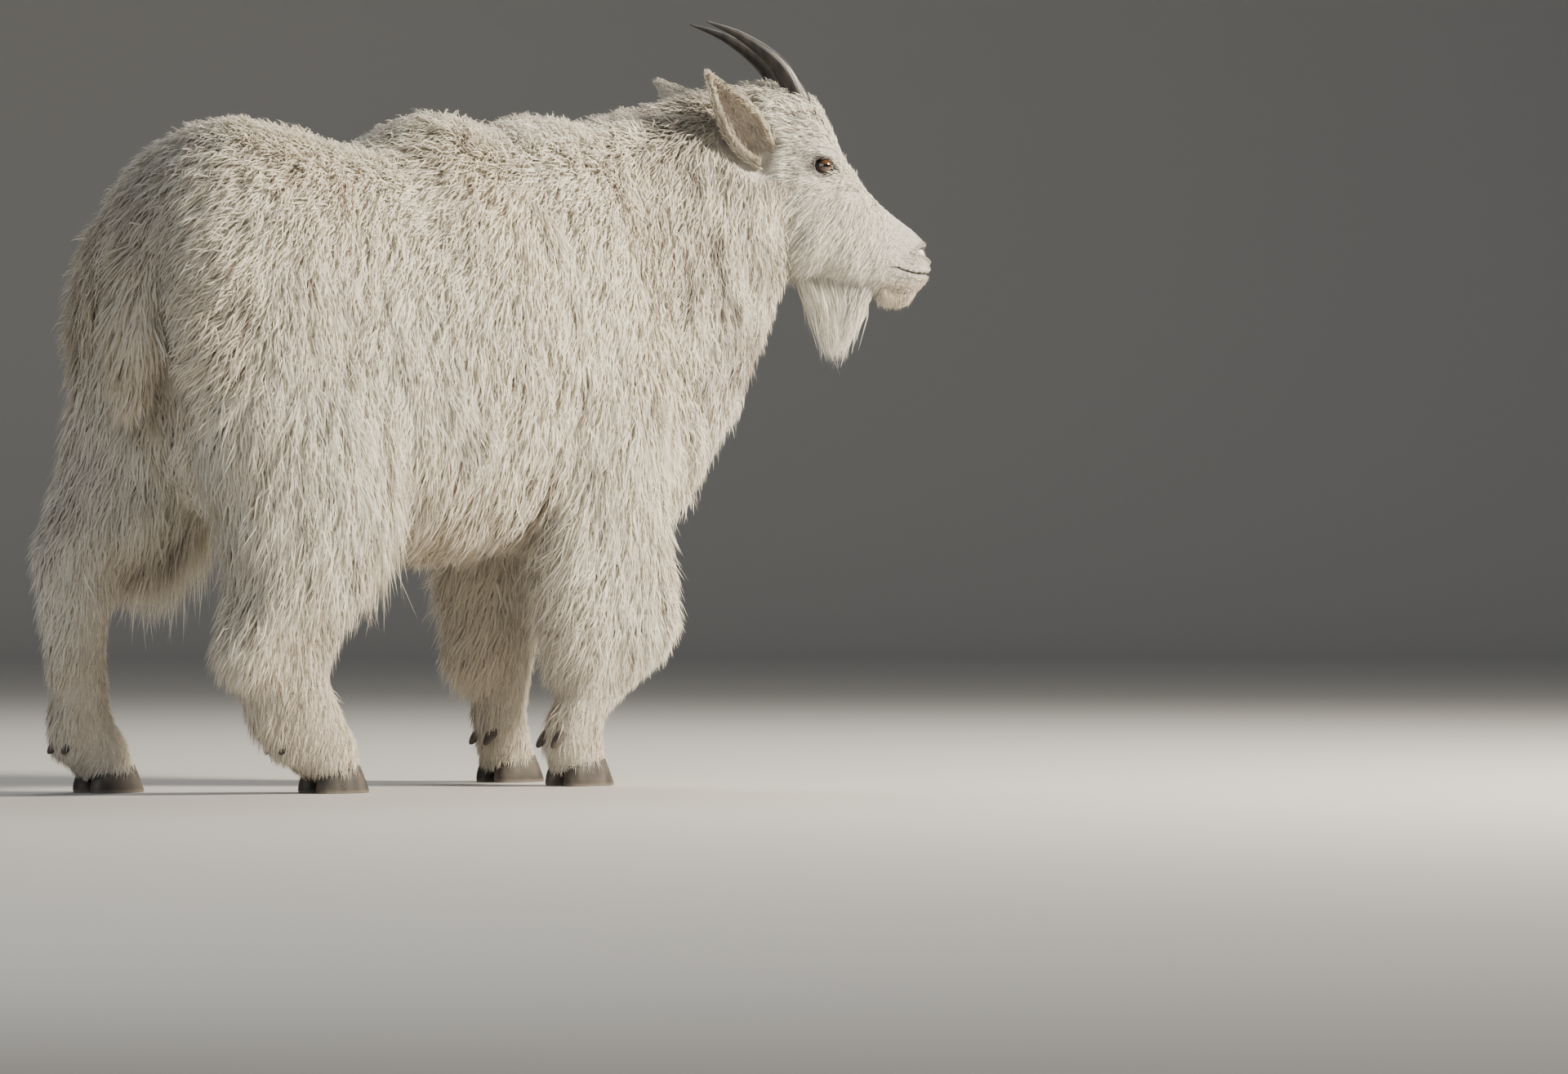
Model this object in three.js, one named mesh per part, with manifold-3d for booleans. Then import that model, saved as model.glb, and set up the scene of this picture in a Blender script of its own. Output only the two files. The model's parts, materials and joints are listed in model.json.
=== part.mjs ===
// A mountain goat at life size, in the middle of a step, with its head turned to its right.
// Millimetres, +Z up, +X towards the chest, +Y to the goat's left. The floor is z = 0.
import * as THREE from "three";
import { mergeVertices } from "three/addons/utils/BufferGeometryUtils.js";
import Module from "manifold-3d";

const wasm = await Module();
wasm.setup();

const GAP = 0.3; // between touching nodes
const COAT = { color: 0xe9e4da, roughness: 0.95, metalness: 0 };
const HORN = { color: 0x17130f, roughness: 0.45, metalness: 0 };
const HOOF = { color: 0x1f1b18, roughness: 0.6, metalness: 0 };
const EYE = { color: 0x2a160a, roughness: 0.08, metalness: 0 };

// The neck is drawn straight and then turned sideways between these two places along X.
const NECK_TURN_START = 290;
const NECK_TURN_END = 620;
const HEAD_TURN = THREE.MathUtils.degToRad(-27);

// Rows of outline sizes. Along the trunk, neck and head a row is
// [x of the upper edge, z of it, x of the lower edge, z of it, half width, sideways shift, depth];
// down a leg or the tail the first two pairs are the front edge and the rear edge. All but the last
// are the outline of the coat's tips, and depth is how far below them the solid core lies.
const TRUNK = [
  [-532, 752, -532, 700, 60, 0, 16],
  [-522, 830, -518, 600, 144, 0, 18],
  [-490, 905, -480, 520, 186, 0, 20],
  [-440, 966, -420, 460, 206, 0, 22],
  [-370, 1004, -350, 425, 214, 0, 22],
  [-280, 1002, -270, 400, 216, 0, 22],
  [-190, 980, -180, 378, 216, 0, 22],
  [-90, 972, -90, 365, 217, 0, 22],
  [-10, 1006, 0, 358, 217, 0, 22],
  [45, 1022, 80, 360, 214, 0, 22],
  [140, 1006, 170, 372, 208, 0, 22],
  [215, 1020, 270, 385, 198, 0, 22],
  [300, 1008, 370, 395, 185, 0, 22],
  [360, 975, 450, 410, 165, 0, 22],
  [410, 930, 520, 430, 135, 0, 20],
  [440, 870, 560, 480, 105, 0, 16],
  [470, 800, 580, 540, 60, 0, 10],
];
const NECK = [
  [120, 975, 400, 430, 150, 0, 14],
  [220, 1018, 520, 440, 156, 0, 20],
  [320, 1018, 590, 530, 150, 0, 20],
  [420, 1035, 640, 620, 136, 0, 20],
  [510, 1058, 675, 705, 110, 0, 18],
  [590, 1078, 700, 775, 92, 0, 16],
  [660, 1090, 725, 820, 80, 0, 12],
  [700, 1075, 740, 845, 64, 0, 8],
];
const HEAD = [
  [640, 1050, 680, 850, 68, 0, 8],
  [665, 1078, 685, 812, 78, 0, 8],
  [700, 1080, 704, 797, 80, 0, 7],
  [735, 1064, 730, 786, 79, 0, 5],
  [762, 1026, 757, 782, 74, 0, 4],
  [782, 984, 782, 777, 68, 0, 3],
  [803, 952, 805, 772, 59, 0, 2],
  [830, 920, 830, 767, 51, 0, 2],
  [857, 895, 853, 757, 45, 0, 1],
  [884, 876, 876, 750, 41, 0, 1],
  [905, 861, 895, 751, 39, 0, 1],
  [920, 845, 910, 765, 35, 0, 1],
  [928, 822, 922, 780, 25, 0, 1],
  [930, 808, 928, 796, 10, 0, 1],
];
const FORE_LEFT = [
  [380, 760, 130, 700, 85, 80, 16],
  [400, 620, 150, 590, 95, 92, 16],
  [385, 500, 165, 490, 88, 100, 15],
  [370, 400, 180, 385, 76, 105, 14],
  [358, 320, 195, 300, 66, 107, 12],
  [352, 255, 205, 240, 60, 108, 9],
  [335, 200, 215, 185, 54, 108, 6],
  [322, 150, 228, 135, 47, 108, 4],
  [318, 110, 235, 95, 42, 108, 3],
  [324, 75, 240, 62, 40, 108, 2],
  [338, 40, 243, 26, 40, 108, 2],
];
const FORE_RIGHT = [
  [390, 760, 130, 700, 85, -80, 16],
  [420, 620, 150, 590, 95, -92, 16],
  [420, 500, 175, 480, 88, -100, 15],
  [425, 400, 195, 370, 76, -105, 14],
  [440, 310, 208, 285, 68, -107, 12],
  [445, 245, 222, 235, 62, -107, 9],
  [405, 195, 228, 190, 52, -107, 6],
  [345, 150, 218, 150, 45, -107, 4],
  [300, 115, 200, 110, 41, -107, 3],
  [288, 80, 190, 66, 40, -107, 2],
  [293, 40, 198, 26, 40, -107, 2],
];
const HIND_RIGHT = [
  [-150, 800, -470, 760, 95, -85, 16],
  [-123, 640, -500, 640, 112, -100, 18],
  [-123, 520, -497, 520, 112, -115, 20],
  [-141, 410, -455, 400, 100, -122, 20],
  [-190, 320, -437, 300, 80, -125, 17],
  [-245, 240, -455, 225, 60, -125, 11],
  [-262, 175, -430, 160, 50, -124, 6],
  [-238, 120, -390, 95, 46, -123, 4],
  [-212, 80, -345, 55, 44, -122, 3],
  [-205, 40, -300, 26, 42, -121, 2],
];
const HIND_LEFT = [
  [-150, 800, -520, 780, 100, 85, 16],
  [-170, 660, -545, 640, 116, 100, 18],
  [-230, 540, -555, 520, 112, 115, 20],
  [-290, 450, -580, 430, 100, 122, 18],
  [-370, 380, -600, 380, 78, 125, 14],
  [-440, 330, -600, 335, 55, 126, 9],
  [-478, 270, -590, 270, 45, 126, 6],
  [-487, 190, -578, 190, 42, 126, 4],
  [-480, 120, -580, 105, 44, 126, 3],
  [-452, 80, -565, 58, 44, 126, 2],
  [-435, 40, -530, 26, 42, 126, 2],
];

const TAIL = [
  [-450, 800, -488, 838, 32, -8, 6],
  [-482, 765, -546, 800, 42, -18, 10],
  [-510, 712, -580, 732, 45, -30, 12],
  [-528, 658, -586, 664, 38, -38, 10],
  [-543, 612, -574, 608, 15, -42, 4],
];

// Feet: the middle of each sole.
const FEET = {
  fore_left: [295, 108],
  fore_right: [250, -107],
  hind_left: [-478, 126],
  hind_right: [-248, -121],
};

// A value moved along a smooth curve through a column of the rows.
function columnAt(rows, column, place) {
  const i = Math.min(Math.floor(place), rows.length - 2);
  const t = place - i;
  const at = (k) => rows[THREE.MathUtils.clamp(k, 0, rows.length - 1)][column];
  const [a, b, c, d] = [at(i - 1), at(i), at(i + 1), at(i + 2)];
  return 0.5 * (2 * b + (c - a) * t + (2 * a - 5 * b + 4 * c - d) * t * t + (3 * b - a - 3 * c + d) * t ** 3);
}

const signedPower = (value, power) => Math.sign(value) * Math.abs(value) ** power;

// A point of a section's edge. square above 2 fills its corners, bulge above 0 sets its widest place higher,
// and core is the share of the coat's depth that is taken off.
function sectionPoint(row, angle, { square = 2, bulge = 0, core = 0, grow = 0 }) {
  const [ux, uz, lx, lz, half, shift, depth] = row;
  const inset = core * depth - grow;
  const shrink = Math.max(1 - (2 * inset) / Math.hypot(ux - lx, uz - lz), 0.1);
  const width = Math.max(half - inset, 0.1 * half);
  const up = signedPower(Math.cos(angle), 2 / square);
  const side = signedPower(Math.sin(angle), 2 / square);
  const along = 0.5 + shrink * (0.5 * up + bulge * side * side);
  return new THREE.Vector3(lx + (ux - lx) * along, shift + width * side, lz + (uz - lz) * along);
}

const rowAt = (rows, place) => rows[0].map((_, column) => columnAt(rows, column, place));

// A closed body through the rows, with both ends capped.
function loft(rows, options) {
  const { sides, steps = 1 } = options;
  const points = [];
  for (let s = 0; s <= (rows.length - 1) * steps; s++) {
    const row = rowAt(rows, s / steps);
    for (let k = 0; k < sides; k++) points.push(sectionPoint(row, (2 * Math.PI * k) / sides, options).toArray());
  }
  return ringsToGeometry(points, sides);
}

// Joins rings of points, each of the same count, into one closed geometry, with flat caps on both ends.
function ringsToGeometry(points, sides) {
  const rings = points.length / sides;
  const index = [];
  for (let r = 0; r + 1 < rings; r++) {
    for (let k = 0; k < sides; k++) {
      const a = r * sides + k;
      const b = r * sides + ((k + 1) % sides);
      index.push(a, a + sides, b, b, a + sides, b + sides);
    }
  }
  const middle = (start) => {
    const sum = [0, 0, 0];
    for (let k = 0; k < sides; k++) for (const c of [0, 1, 2]) sum[c] += points[start + k][c] / sides;
    return points.push(sum) - 1;
  };
  const last = (rings - 1) * sides;
  const first = middle(0);
  const end = middle(last);
  for (let k = 0; k < sides; k++) {
    const next = (k + 1) % sides;
    index.push(first, k, next, end, last + next, last + k);
  }
  const geometry = new THREE.BufferGeometry();
  geometry.setAttribute("position", new THREE.Float32BufferAttribute(points.flat(), 3));
  geometry.setIndex(index);
  return geometry;
}

// Turns what lies beyond the neck's start sideways, as the goat looks to its right.
const TURN_STEPS = 40;
function turned(x, y) {
  if (x <= NECK_TURN_START) return [x, y];
  let [px, py, angle] = [NECK_TURN_START, 0, 0];
  const step = (x - NECK_TURN_START) / TURN_STEPS;
  for (let i = 0; i < TURN_STEPS; i++) {
    const here = NECK_TURN_START + (i + 0.5) * step;
    angle = HEAD_TURN * THREE.MathUtils.smoothstep(here, NECK_TURN_START, NECK_TURN_END);
    px += Math.cos(angle) * step;
    py += Math.sin(angle) * step;
  }
  angle = HEAD_TURN * THREE.MathUtils.smoothstep(x, NECK_TURN_START, NECK_TURN_END);
  return [px - y * Math.sin(angle), py + y * Math.cos(angle)];
}

function turnedGeometry(geometry) {
  const place = geometry.getAttribute("position");
  for (let i = 0; i < place.count; i++) {
    const [x, y] = turned(place.getX(i), place.getY(i));
    place.setXY(i, x, y);
  }
  return geometry;
}

// A three.js geometry as a manifold-3d solid.
function solid(geometry) {
  const bare = geometry.index ? geometry.toNonIndexed() : geometry.clone();
  for (const name of Object.keys(bare.attributes)) if (name !== "position") bare.deleteAttribute(name);
  const merged = mergeVertices(bare, 1e-3);
  return new wasm.Manifold(
    new wasm.Mesh({
      numProp: 3,
      vertProperties: new Float32Array(merged.getAttribute("position").array),
      triVerts: new Uint32Array(merged.index.array),
    }),
  );
}

const union = (solids) => wasm.Manifold.union(solids);

// The largest closed piece of a solid.
function largest(whole) {
  return whole.decompose().reduce((a, b) => (b.volume() > a.volume() ? b : a));
}

function geometryOf(made) {
  const { numProp, numVert, vertProperties, triVerts } = made.getMesh();
  const points = new Float32Array(numVert * 3);
  for (let i = 0; i < numVert; i++) points.set(vertProperties.subarray(i * numProp, i * numProp + 3), i * 3);
  const geometry = new THREE.BufferGeometry();
  geometry.setAttribute("position", new THREE.BufferAttribute(points, 3));
  geometry.setIndex(new THREE.BufferAttribute(new Uint32Array(triVerts), 1));
  geometry.computeVertexNormals();
  return geometry;
}

const goat = new THREE.Group();
function addNode(name, made, look) {
  const mesh = new THREE.Mesh(geometryOf(largest(made)), new THREE.MeshStandardMaterial(look));
  mesh.name = name;
  goat.add(mesh);
}

// The head's own pieces are placed in the straight goat and turned with it.
const inHead = (x, y, z) => new THREE.Vector3(...turned(x, y), z);
const headWay = (x, y, z) => new THREE.Vector3(x, y, z).applyAxisAngle(new THREE.Vector3(0, 0, 1), HEAD_TURN);

// Egg-shaped swellings and hollows of the head, tilted in side view.
const SOCKET = { at: [748, 76, 957], size: [27, 13, 20], tilt: 0.3 };
const UPPER_LIP = { at: [906, 20, 804], size: [24, 15, 8], tilt: 0 };
const LOWER_LIP = { at: [896, 17, 785], size: [24, 14, 8], tilt: 0 };
const NOSTRIL = { at: [920, 18, 829], size: [10, 7, 6], tilt: 0.5 };
function egg({ at: [x, y, z], size, tilt }, side) {
  const geometry = new THREE.SphereGeometry(1, 10, 6);
  geometry.scale(...size).rotateY(tilt).translate(x, y * side, z);
  return solid(turnedGeometry(geometry));
}

// The horn: a tapering sweep that curves back, with growth rings near its base.
const HORN_LINE = [[731, 25, 1028], [713, 29, 1058], [678, 35, 1115], [617, 39, 1159], [556, 42, 1182]];
const HORN_BASE_RADIUS = 20;
const HORN_RINGS = 3;
const HORN_SIDES = 8;
const HORN_FLATNESS = 0.88;
const HORN_STATIONS = 12;
function hornSolid(side, grow = 0) {
  const line = new THREE.CatmullRomCurve3(HORN_LINE.map(([x, y, z]) => new THREE.Vector3(x, y * side, z)));
  const points = [];
  for (let s = 0; s <= HORN_STATIONS; s++) {
    const t = s / HORN_STATIONS;
    const middle = line.getPointAt(t);
    const along = line.getTangentAt(t);
    const across = new THREE.Vector3(0, side, 0).cross(along).normalize();
    const out = along.clone().cross(across).normalize();
    const ridge = t < 0.5 ? 0.6 * Math.sin(2 * Math.PI * HORN_RINGS * (t / 0.5)) : 0;
    const radius = HORN_BASE_RADIUS * (1 - t ** 1.25) + 1.2 + ridge + grow;
    for (let k = 0; k < HORN_SIDES; k++) {
      const angle = (-2 * Math.PI * k) / HORN_SIDES;
      const point = middle.clone();
      point.addScaledVector(across, radius * Math.cos(angle));
      point.addScaledVector(out, HORN_FLATNESS * radius * Math.sin(angle));
      points.push(point.toArray());
    }
  }
  return solid(turnedGeometry(ringsToGeometry(points, HORN_SIDES)));
}

// The ear: a leaf with a hollow cup that faces outwards.
const EAR_ROOT = [655, 64, 966];
const EAR_TIP = [529, 114, 1098];
const EAR_WIDTHS = [44, 58, 70, 76, 75, 68, 56, 40, 22, 3];
const EAR_THICK = 6;
const EAR_ARC = 5;
function earSolid(side, grow = 0) {
  const root = new THREE.Vector3(EAR_ROOT[0], EAR_ROOT[1] * side, EAR_ROOT[2]);
  const tip = new THREE.Vector3(EAR_TIP[0], EAR_TIP[1] * side, EAR_TIP[2]);
  const along = tip.clone().sub(root).normalize();
  const open = new THREE.Vector3(0.35, side, -0.05);
  open.addScaledVector(along, -open.dot(along)).normalize();
  const across = along.clone().cross(open).normalize();
  const points = [];
  const stations = EAR_WIDTHS.length - 1;
  for (let s = 0; s <= stations; s++) {
    const t = s / stations;
    const half = 0.5 * EAR_WIDTHS[s] + grow;
    const deep = half * (1.15 - 0.55 * t) + grow;
    const thick = Math.min(EAR_THICK * (1 - 0.55 * t), 0.6 * half) + (grow > 0 ? half : 0);
    const middle = root.clone().lerp(tip, t).addScaledVector(open, -14 * Math.sin(Math.PI * t));
    const arc = (k, inner) => {
      const angle = Math.PI * (k / EAR_ARC - 0.5);
      const wide = half - (inner ? Math.min(thick, half) * 0.7 : 0);
      const depth = inner ? Math.max(deep - thick, 0) : deep;
      const point = middle.clone().addScaledVector(across, wide * Math.sin(angle));
      points.push(point.addScaledVector(open, -depth * Math.cos(angle) + (inner ? grow : 0)).toArray());
    };
    for (let k = 0; k <= EAR_ARC; k++) arc(k, false);
    for (let k = EAR_ARC; k >= 0; k--) arc(k, true);
  }
  return solid(turnedGeometry(ringsToGeometry(points, 2 * (EAR_ARC + 1))));
}

// The eye, and the rim of its lids, at a place on the side of the head.
const EYE_PLACE = [742, 55.5, 958];
const EYE_RADIUS = 16.5;
function eyeSolid(side, grow = 0) {
  const geometry = new THREE.SphereGeometry(EYE_RADIUS + grow, 12, 8);
  geometry.rotateX(Math.PI / 2).translate(EYE_PLACE[0], EYE_PLACE[1] * side, EYE_PLACE[2]);
  return solid(turnedGeometry(geometry));
}
const LIDS = { radius: 16.2, thick: 4.6, long: 1.12, high: 0.86, tilt: 0.18, forwards: 0.16, out: 9.5 };
function lidSolid(side) {
  const geometry = new THREE.TorusGeometry(LIDS.radius, LIDS.thick, 5, 14);
  geometry.scale(LIDS.long, LIDS.high, 1).rotateX(Math.PI / 2).rotateY(LIDS.tilt).rotateZ(-LIDS.forwards * side);
  geometry.translate(EYE_PLACE[0], (EYE_PLACE[1] + LIDS.out) * side, EYE_PLACE[2]);
  return solid(turnedGeometry(geometry));
}

// The line of the mouth: a thin cut round the muzzle, a few millimetres deep.
const MOUTH_LINE = [[945, 789], [925, 792], [903, 793], [881, 799], [862, 806]];
const MOUTH_HALF = 1.6;
const MOUTH_DEEP = 6;
function mouthCut(headOptions) {
  const shape = new THREE.Shape();
  MOUTH_LINE.forEach(([x, z], i) => (i ? shape.lineTo(x, z + MOUTH_HALF) : shape.moveTo(x, z + MOUTH_HALF)));
  [...MOUTH_LINE].reverse().forEach(([x, z], i) => shape.lineTo(x, z - (i ? MOUTH_HALF : 0.4)));
  const strip = new THREE.ExtrudeGeometry(shape, { depth: 120, bevelEnabled: false });
  strip.rotateX(Math.PI / 2).translate(0, 60, 0);
  const core = solid(turnedGeometry(loft(HEAD, { ...headOptions, grow: -MOUTH_DEEP })));
  return solid(turnedGeometry(strip)).subtract(core);
}

// What belongs to one leg: all that is outside the inner face of the limb, and below its rounded top.
const FORE_SPACE = { rear: 70, front: 470, top: 590, under: 350, inner: 50 };
const HIND_SPACE = { rear: -680, front: -96, top: 645, under: 400, inner: 50 };
function legSpace({ rear, front, top, under, inner }, side, grow) {
  const low = -60;
  const outside = 420;
  const round = (front - rear) / 2;
  const arch = new THREE.Shape();
  arch.moveTo(rear - grow, low);
  arch.lineTo(front + grow, low);
  arch.absellipse((rear + front) / 2, top - round, round + grow, round + grow, 0, Math.PI, false);
  const slab = (shape, from, to) => {
    const geometry = new THREE.ExtrudeGeometry(shape, { depth: to - from, bevelEnabled: false, curveSegments: 5 });
    geometry.rotateX(Math.PI / 2).translate(0, side > 0 ? to : -from, 0);
    return solid(geometry);
  };
  const box = new THREE.Shape();
  box.moveTo(rear - grow, low);
  box.lineTo(front + grow, low);
  box.lineTo(front + grow, under + grow);
  box.lineTo(rear - grow, under + grow);
  return slab(arch, inner - grow, outside).add(slab(box, GAP / 2 - grow, inner + 1));
}

// Keeps what lies on the far side of a plane through a place.
function beyond(made, place, way) {
  return made.trimByPlane(way.toArray(), way.dot(place));
}
function parted(made, place, way) {
  const unit = way.clone().normalize();
  const step = unit.clone().multiplyScalar(GAP / 2);
  return [
    beyond(made, place.clone().sub(step), unit.clone().negate()),
    beyond(made, place.clone().add(step), unit),
  ];
}

// One of the two claws of a foot: steep in front, flat below.
const CLAW = { half: 17, apart: 21, front: 52, rear: -46, topFront: 34, topRear: -38, high: 38.3, highRear: 27.7 };
function clawSolid([x, y], side) {
  const at = y + side * CLAW.apart;
  const rows = [
    [x + CLAW.topFront, CLAW.high, x + CLAW.topRear, CLAW.highRear, CLAW.half - 2, at, 0],
    [x + CLAW.front - 7, 16, x + CLAW.rear + 2, 12, CLAW.half, at, 0],
    [x + CLAW.front, 0, x + CLAW.rear, 0, CLAW.half - 1, at, 0],
  ];
  return solid(loft(rows, { sides: 10, square: 2.6 }));
}

// A dewclaw: a blunt cone that sticks out behind the pastern.
const DEWCLAW = { apart: 17, high: 70, long: 30, radius: 9.5, tip: 4 };
const DEWCLAW_WAY = new THREE.Vector3(-0.7, 0, -0.71).normalize();
function dewclawSolid([x, y], side, grow = 0) {
  const { apart, high, long, radius, tip } = DEWCLAW;
  const geometry = new THREE.CylinderGeometry(tip + grow, radius + grow, long + 2 * grow, 8);
  geometry.applyQuaternion(new THREE.Quaternion().setFromUnitVectors(new THREE.Vector3(0, 1, 0), DEWCLAW_WAY));
  return solid(geometry.translate(x, y + side * apart, high));
}

// A lock: a flat blade with a ridge, rooted in the core, which bends over along its way and ends in a point.
// Each station is [share of its length, share of its rise, share of its width, share of its thickness].
// fall gives how far the core drops away below the blade's middle and its tip.
const LOCK_STATIONS = [[-0.1, -0.5, 0.8, 1], [0.45, 0.85, 1, 0.9]];
const LOCK_TIP = [1, 1.02];
const EDGE_GROWTH = 6; // a thin edge must grow sideways more than the faces grow outwards
function lock(root, normal, way, { long, wide, rise, thick = 13, bend = 0, fall = [0, 0] }, grow = 0) {
  const along = way.clone().addScaledVector(normal, -way.dot(normal)).normalize();
  const across = normal.clone().cross(along);
  const place = (share, height) => {
    const sideways = bend * long * share * share;
    const drop = share > 0.9 ? fall[1] : share > 0 ? fall[0] : 0;
    return root.clone().addScaledVector(along, long * share).addScaledVector(normal, rise * height - drop)
      .addScaledVector(across, sideways);
  };
  const points = [];
  for (const [share, height, width, depth] of LOCK_STATIONS) {
    const middle = place(share, height);
    const half = 0.5 * wide * width + EDGE_GROWTH * grow;
    for (const [side, up] of [[1, -0.35], [-1, -0.35], [0, 0.65]]) {
      const point = middle.clone().addScaledVector(across, side * half);
      points.push(point.addScaledVector(normal, up * thick * depth + Math.sign(up) * grow).toArray());
    }
  }
  const geometry = ringsToGeometry(points, 3);
  const corners = geometry.getAttribute("position");
  const tip = place(...LOCK_TIP).addScaledVector(along, 2 * grow);
  corners.setXYZ(corners.count - 1, tip.x, tip.y, tip.z);
  return solid(geometry);
}

const solidLock = ([root, normal, way, size], grow = 0) => lock(root, normal, way, size, grow);

// Even, seeded draws between -1 and 1.
let seed = 20240611;
function draw() {
  seed = (seed * 1664525 + 1013904223) % 4294967296;
  return seed / 2147483648 - 1;
}

const turnedPoint = ({ x, y, z }) => new THREE.Vector3(...turned(x, y), z);
const asItIs = (point) => point;

// Where a ray straight down onto the surface meets it near a point, or null where another part hides it.
const REACH = 160;
const HIDDEN = 14;
function onSurface(mesh, point, normal) {
  const from = point.clone().addScaledVector(normal, REACH);
  const [hit] = new THREE.Raycaster(from, normal.clone().negate(), 0, REACH + HIDDEN).intersectObject(mesh);
  return hit && hit.distance > REACH - HIDDEN ? hit.point : null;
}

// How far the surface drops away from its tangent at so far along a way from a root.
const MOST_FALL = 70;
function fallAt(mesh, root, normal, along, far) {
  const from = root.clone().addScaledVector(along, far).addScaledVector(normal, MOST_FALL);
  const [hit] = new THREE.Raycaster(from, normal.clone().negate(), 0, 2 * MOST_FALL).intersectObject(mesh);
  return hit ? hit.distance - MOST_FALL : (MOST_FALL * far) / REACH;
}

// Rows of locks over a stretch of a lofted part. way gives the lie of the coat at a point of the straight goat.
function coatOf(rows, form, stretch, mesh) {
  const { from, to, rings, around, angles = [0, 2 * Math.PI], way, move = asItIs, size, follow = true } = stretch;
  const made = [];
  for (let r = 0; r < rings; r++) {
    for (let k = 0; k < around; k++) {
      const place = from + ((to - from) * (r + 0.5 + 0.3 * draw())) / rings;
      const share = (k + (r % 2 ? 0.75 : 0.25) + 0.2 * draw()) / around;
      const angle = angles[0] + (angles[1] - angles[0]) * share;
      const at = (a, b) => sectionPoint(rowAt(rows, a), b, { ...form, core: 1 });
      const straight = at(place, angle);
      const ahead = move(at(Math.min(place + 0.02, rows.length - 1), angle)).sub(move(at(place - 0.02, angle)));
      const round = move(at(place, angle + 0.02)).sub(move(at(place, angle - 0.02)));
      const normal = round.cross(ahead).normalize();
      const middle = move(sectionPoint(rowAt(rows, place), angle, { ...form, core: 4 }));
      const root = move(straight);
      if (normal.dot(root.clone().sub(middle)) < 0) normal.negate();
      const lie = way(straight, normal);
      const aim = move(straight.clone().add(lie)).sub(root);
      const found = onSurface(mesh, root, normal);
      const vary = 1 + 0.14 * draw();
      const chosen = typeof size === "function" ? size(straight) : size;
      const { long, wide, rise } = chosen;
      const own = { ...chosen, long: long * vary, wide: wide * (1 + 0.1 * draw()) };
      own.rise = rise * (1 + 0.12 * draw());
      if (!found) continue;
      const along = aim.addScaledVector(normal, -aim.dot(normal)).normalize();
      const drop = (share) => (follow ? fallAt(mesh, found, normal, along, share * own.long) : 0);
      const fall = [drop(LOCK_STATIONS[1][0]), drop(1)];
      made.push([found, normal, along, { ...own, fall, bend: 0.12 * draw() }]);
    }
  }
  return made;
}

const TRUNK_FORM = { sides: 22, square: 2.25, bulge: -0.04 };
const NECK_FORM = { sides: 16, square: 2.1 };
const HEAD_FORM = { sides: 14, square: 2.3, bulge: 0.06, steps: 2 };
const LEG_FORM = { sides: 10, square: 2.1 };
const TAIL_FORM = { sides: 10, square: 2 };
const LEGS = {
  fore_left: { rows: FORE_LEFT, side: 1, space: FORE_SPACE, joint: 285, heel: 240 },
  fore_right: { rows: FORE_RIGHT, side: -1, space: FORE_SPACE, joint: 290, heel: 191 },
  hind_left: { rows: HIND_LEFT, side: 1, space: HIND_SPACE, joint: 345, heel: -565 },
  hind_right: { rows: HIND_RIGHT, side: -1, space: HIND_SPACE, joint: 330, heel: -352 },
};
const SIDES = { left: 1, right: -1 };

// The solid core, at the coat's depth below the tips.
const CORE = { core: 1 };
const cores = [
  loft(TRUNK.slice(1), { ...TRUNK_FORM, ...CORE }),
  turnedGeometry(loft(NECK, { ...NECK_FORM, ...CORE })),
  turnedGeometry(loft(HEAD, { ...HEAD_FORM, ...CORE })),
  ...Object.values(LEGS).map(({ rows }) => loft(rows, { ...LEG_FORM, ...CORE })),
].map(solid);
const core = union(cores);
const skin = new THREE.Mesh(geometryOf(core), new THREE.MeshBasicMaterial({ side: THREE.DoubleSide }));
skin.updateMatrixWorld();

// The lie of the coat: back along the spine, down and back on sides and limbs, up and back on the neck's crest.
const down = (x, z = -1) => () => new THREE.Vector3(x, 0, z);
const trunkWay = (point, normal) => new THREE.Vector3(-0.45 - 0.8 * Math.max(normal.z, 0), 0, -1);
const neckWay = (point, { z }) => (z > 0.5 ? new THREE.Vector3(-1, 0, 0.5) : new THREE.Vector3(-0.4, 0, -1));
const BELLY_LOCK = { long: 120, wide: 130, rise: 20 };
const SIDE_LOCK = { long: 195, wide: 140, rise: 23 };
const trunkSize = ({ z }) => (z < 480 ? BELLY_LOCK : SIDE_LOCK);

const stretches = [
  [TRUNK, TRUNK_FORM, { from: 1.4, to: 7, rings: 4, around: 8, way: trunkWay, size: trunkSize }],
  [TRUNK, TRUNK_FORM, { from: 7, to: 13.4, rings: 3, around: 9, way: trunkWay, size: trunkSize }],
  [NECK, NECK_FORM, { from: 0.9, to: 6.5, rings: 3, around: 8, way: neckWay, move: turnedPoint,
    size: { long: 150, wide: 112, rise: 20 } }],
  [HEAD, HEAD_FORM, { from: 0.4, to: 2.4, rings: 1, around: 6, angles: [2, 4.28], way: down(-0.9),
    move: turnedPoint, size: { long: 70, wide: 46, rise: 10, thick: 9 } }],
];
for (const { rows } of [LEGS.hind_left, LEGS.hind_right]) {
  stretches.push([rows, LEG_FORM, { from: 1, to: 4.3, rings: 3, around: 3, way: down(-0.25),
    size: { long: 150, wide: 120, rise: 20 } }]);
  stretches.push([rows, LEG_FORM, { from: 2.2, to: 5, rings: 3, around: 1, angles: [-0.3, 0.3], way: down(0.1),
    size: { long: 105, wide: 50, rise: 18 } }]);
  stretches.push([rows, LEG_FORM, { from: 3.8, to: 5.4, rings: 2, around: 1, angles: [2.8, 3.5], way: down(-0.5),
    size: { long: 70, wide: 36, rise: 14, thick: 9 } }]);
}
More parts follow.
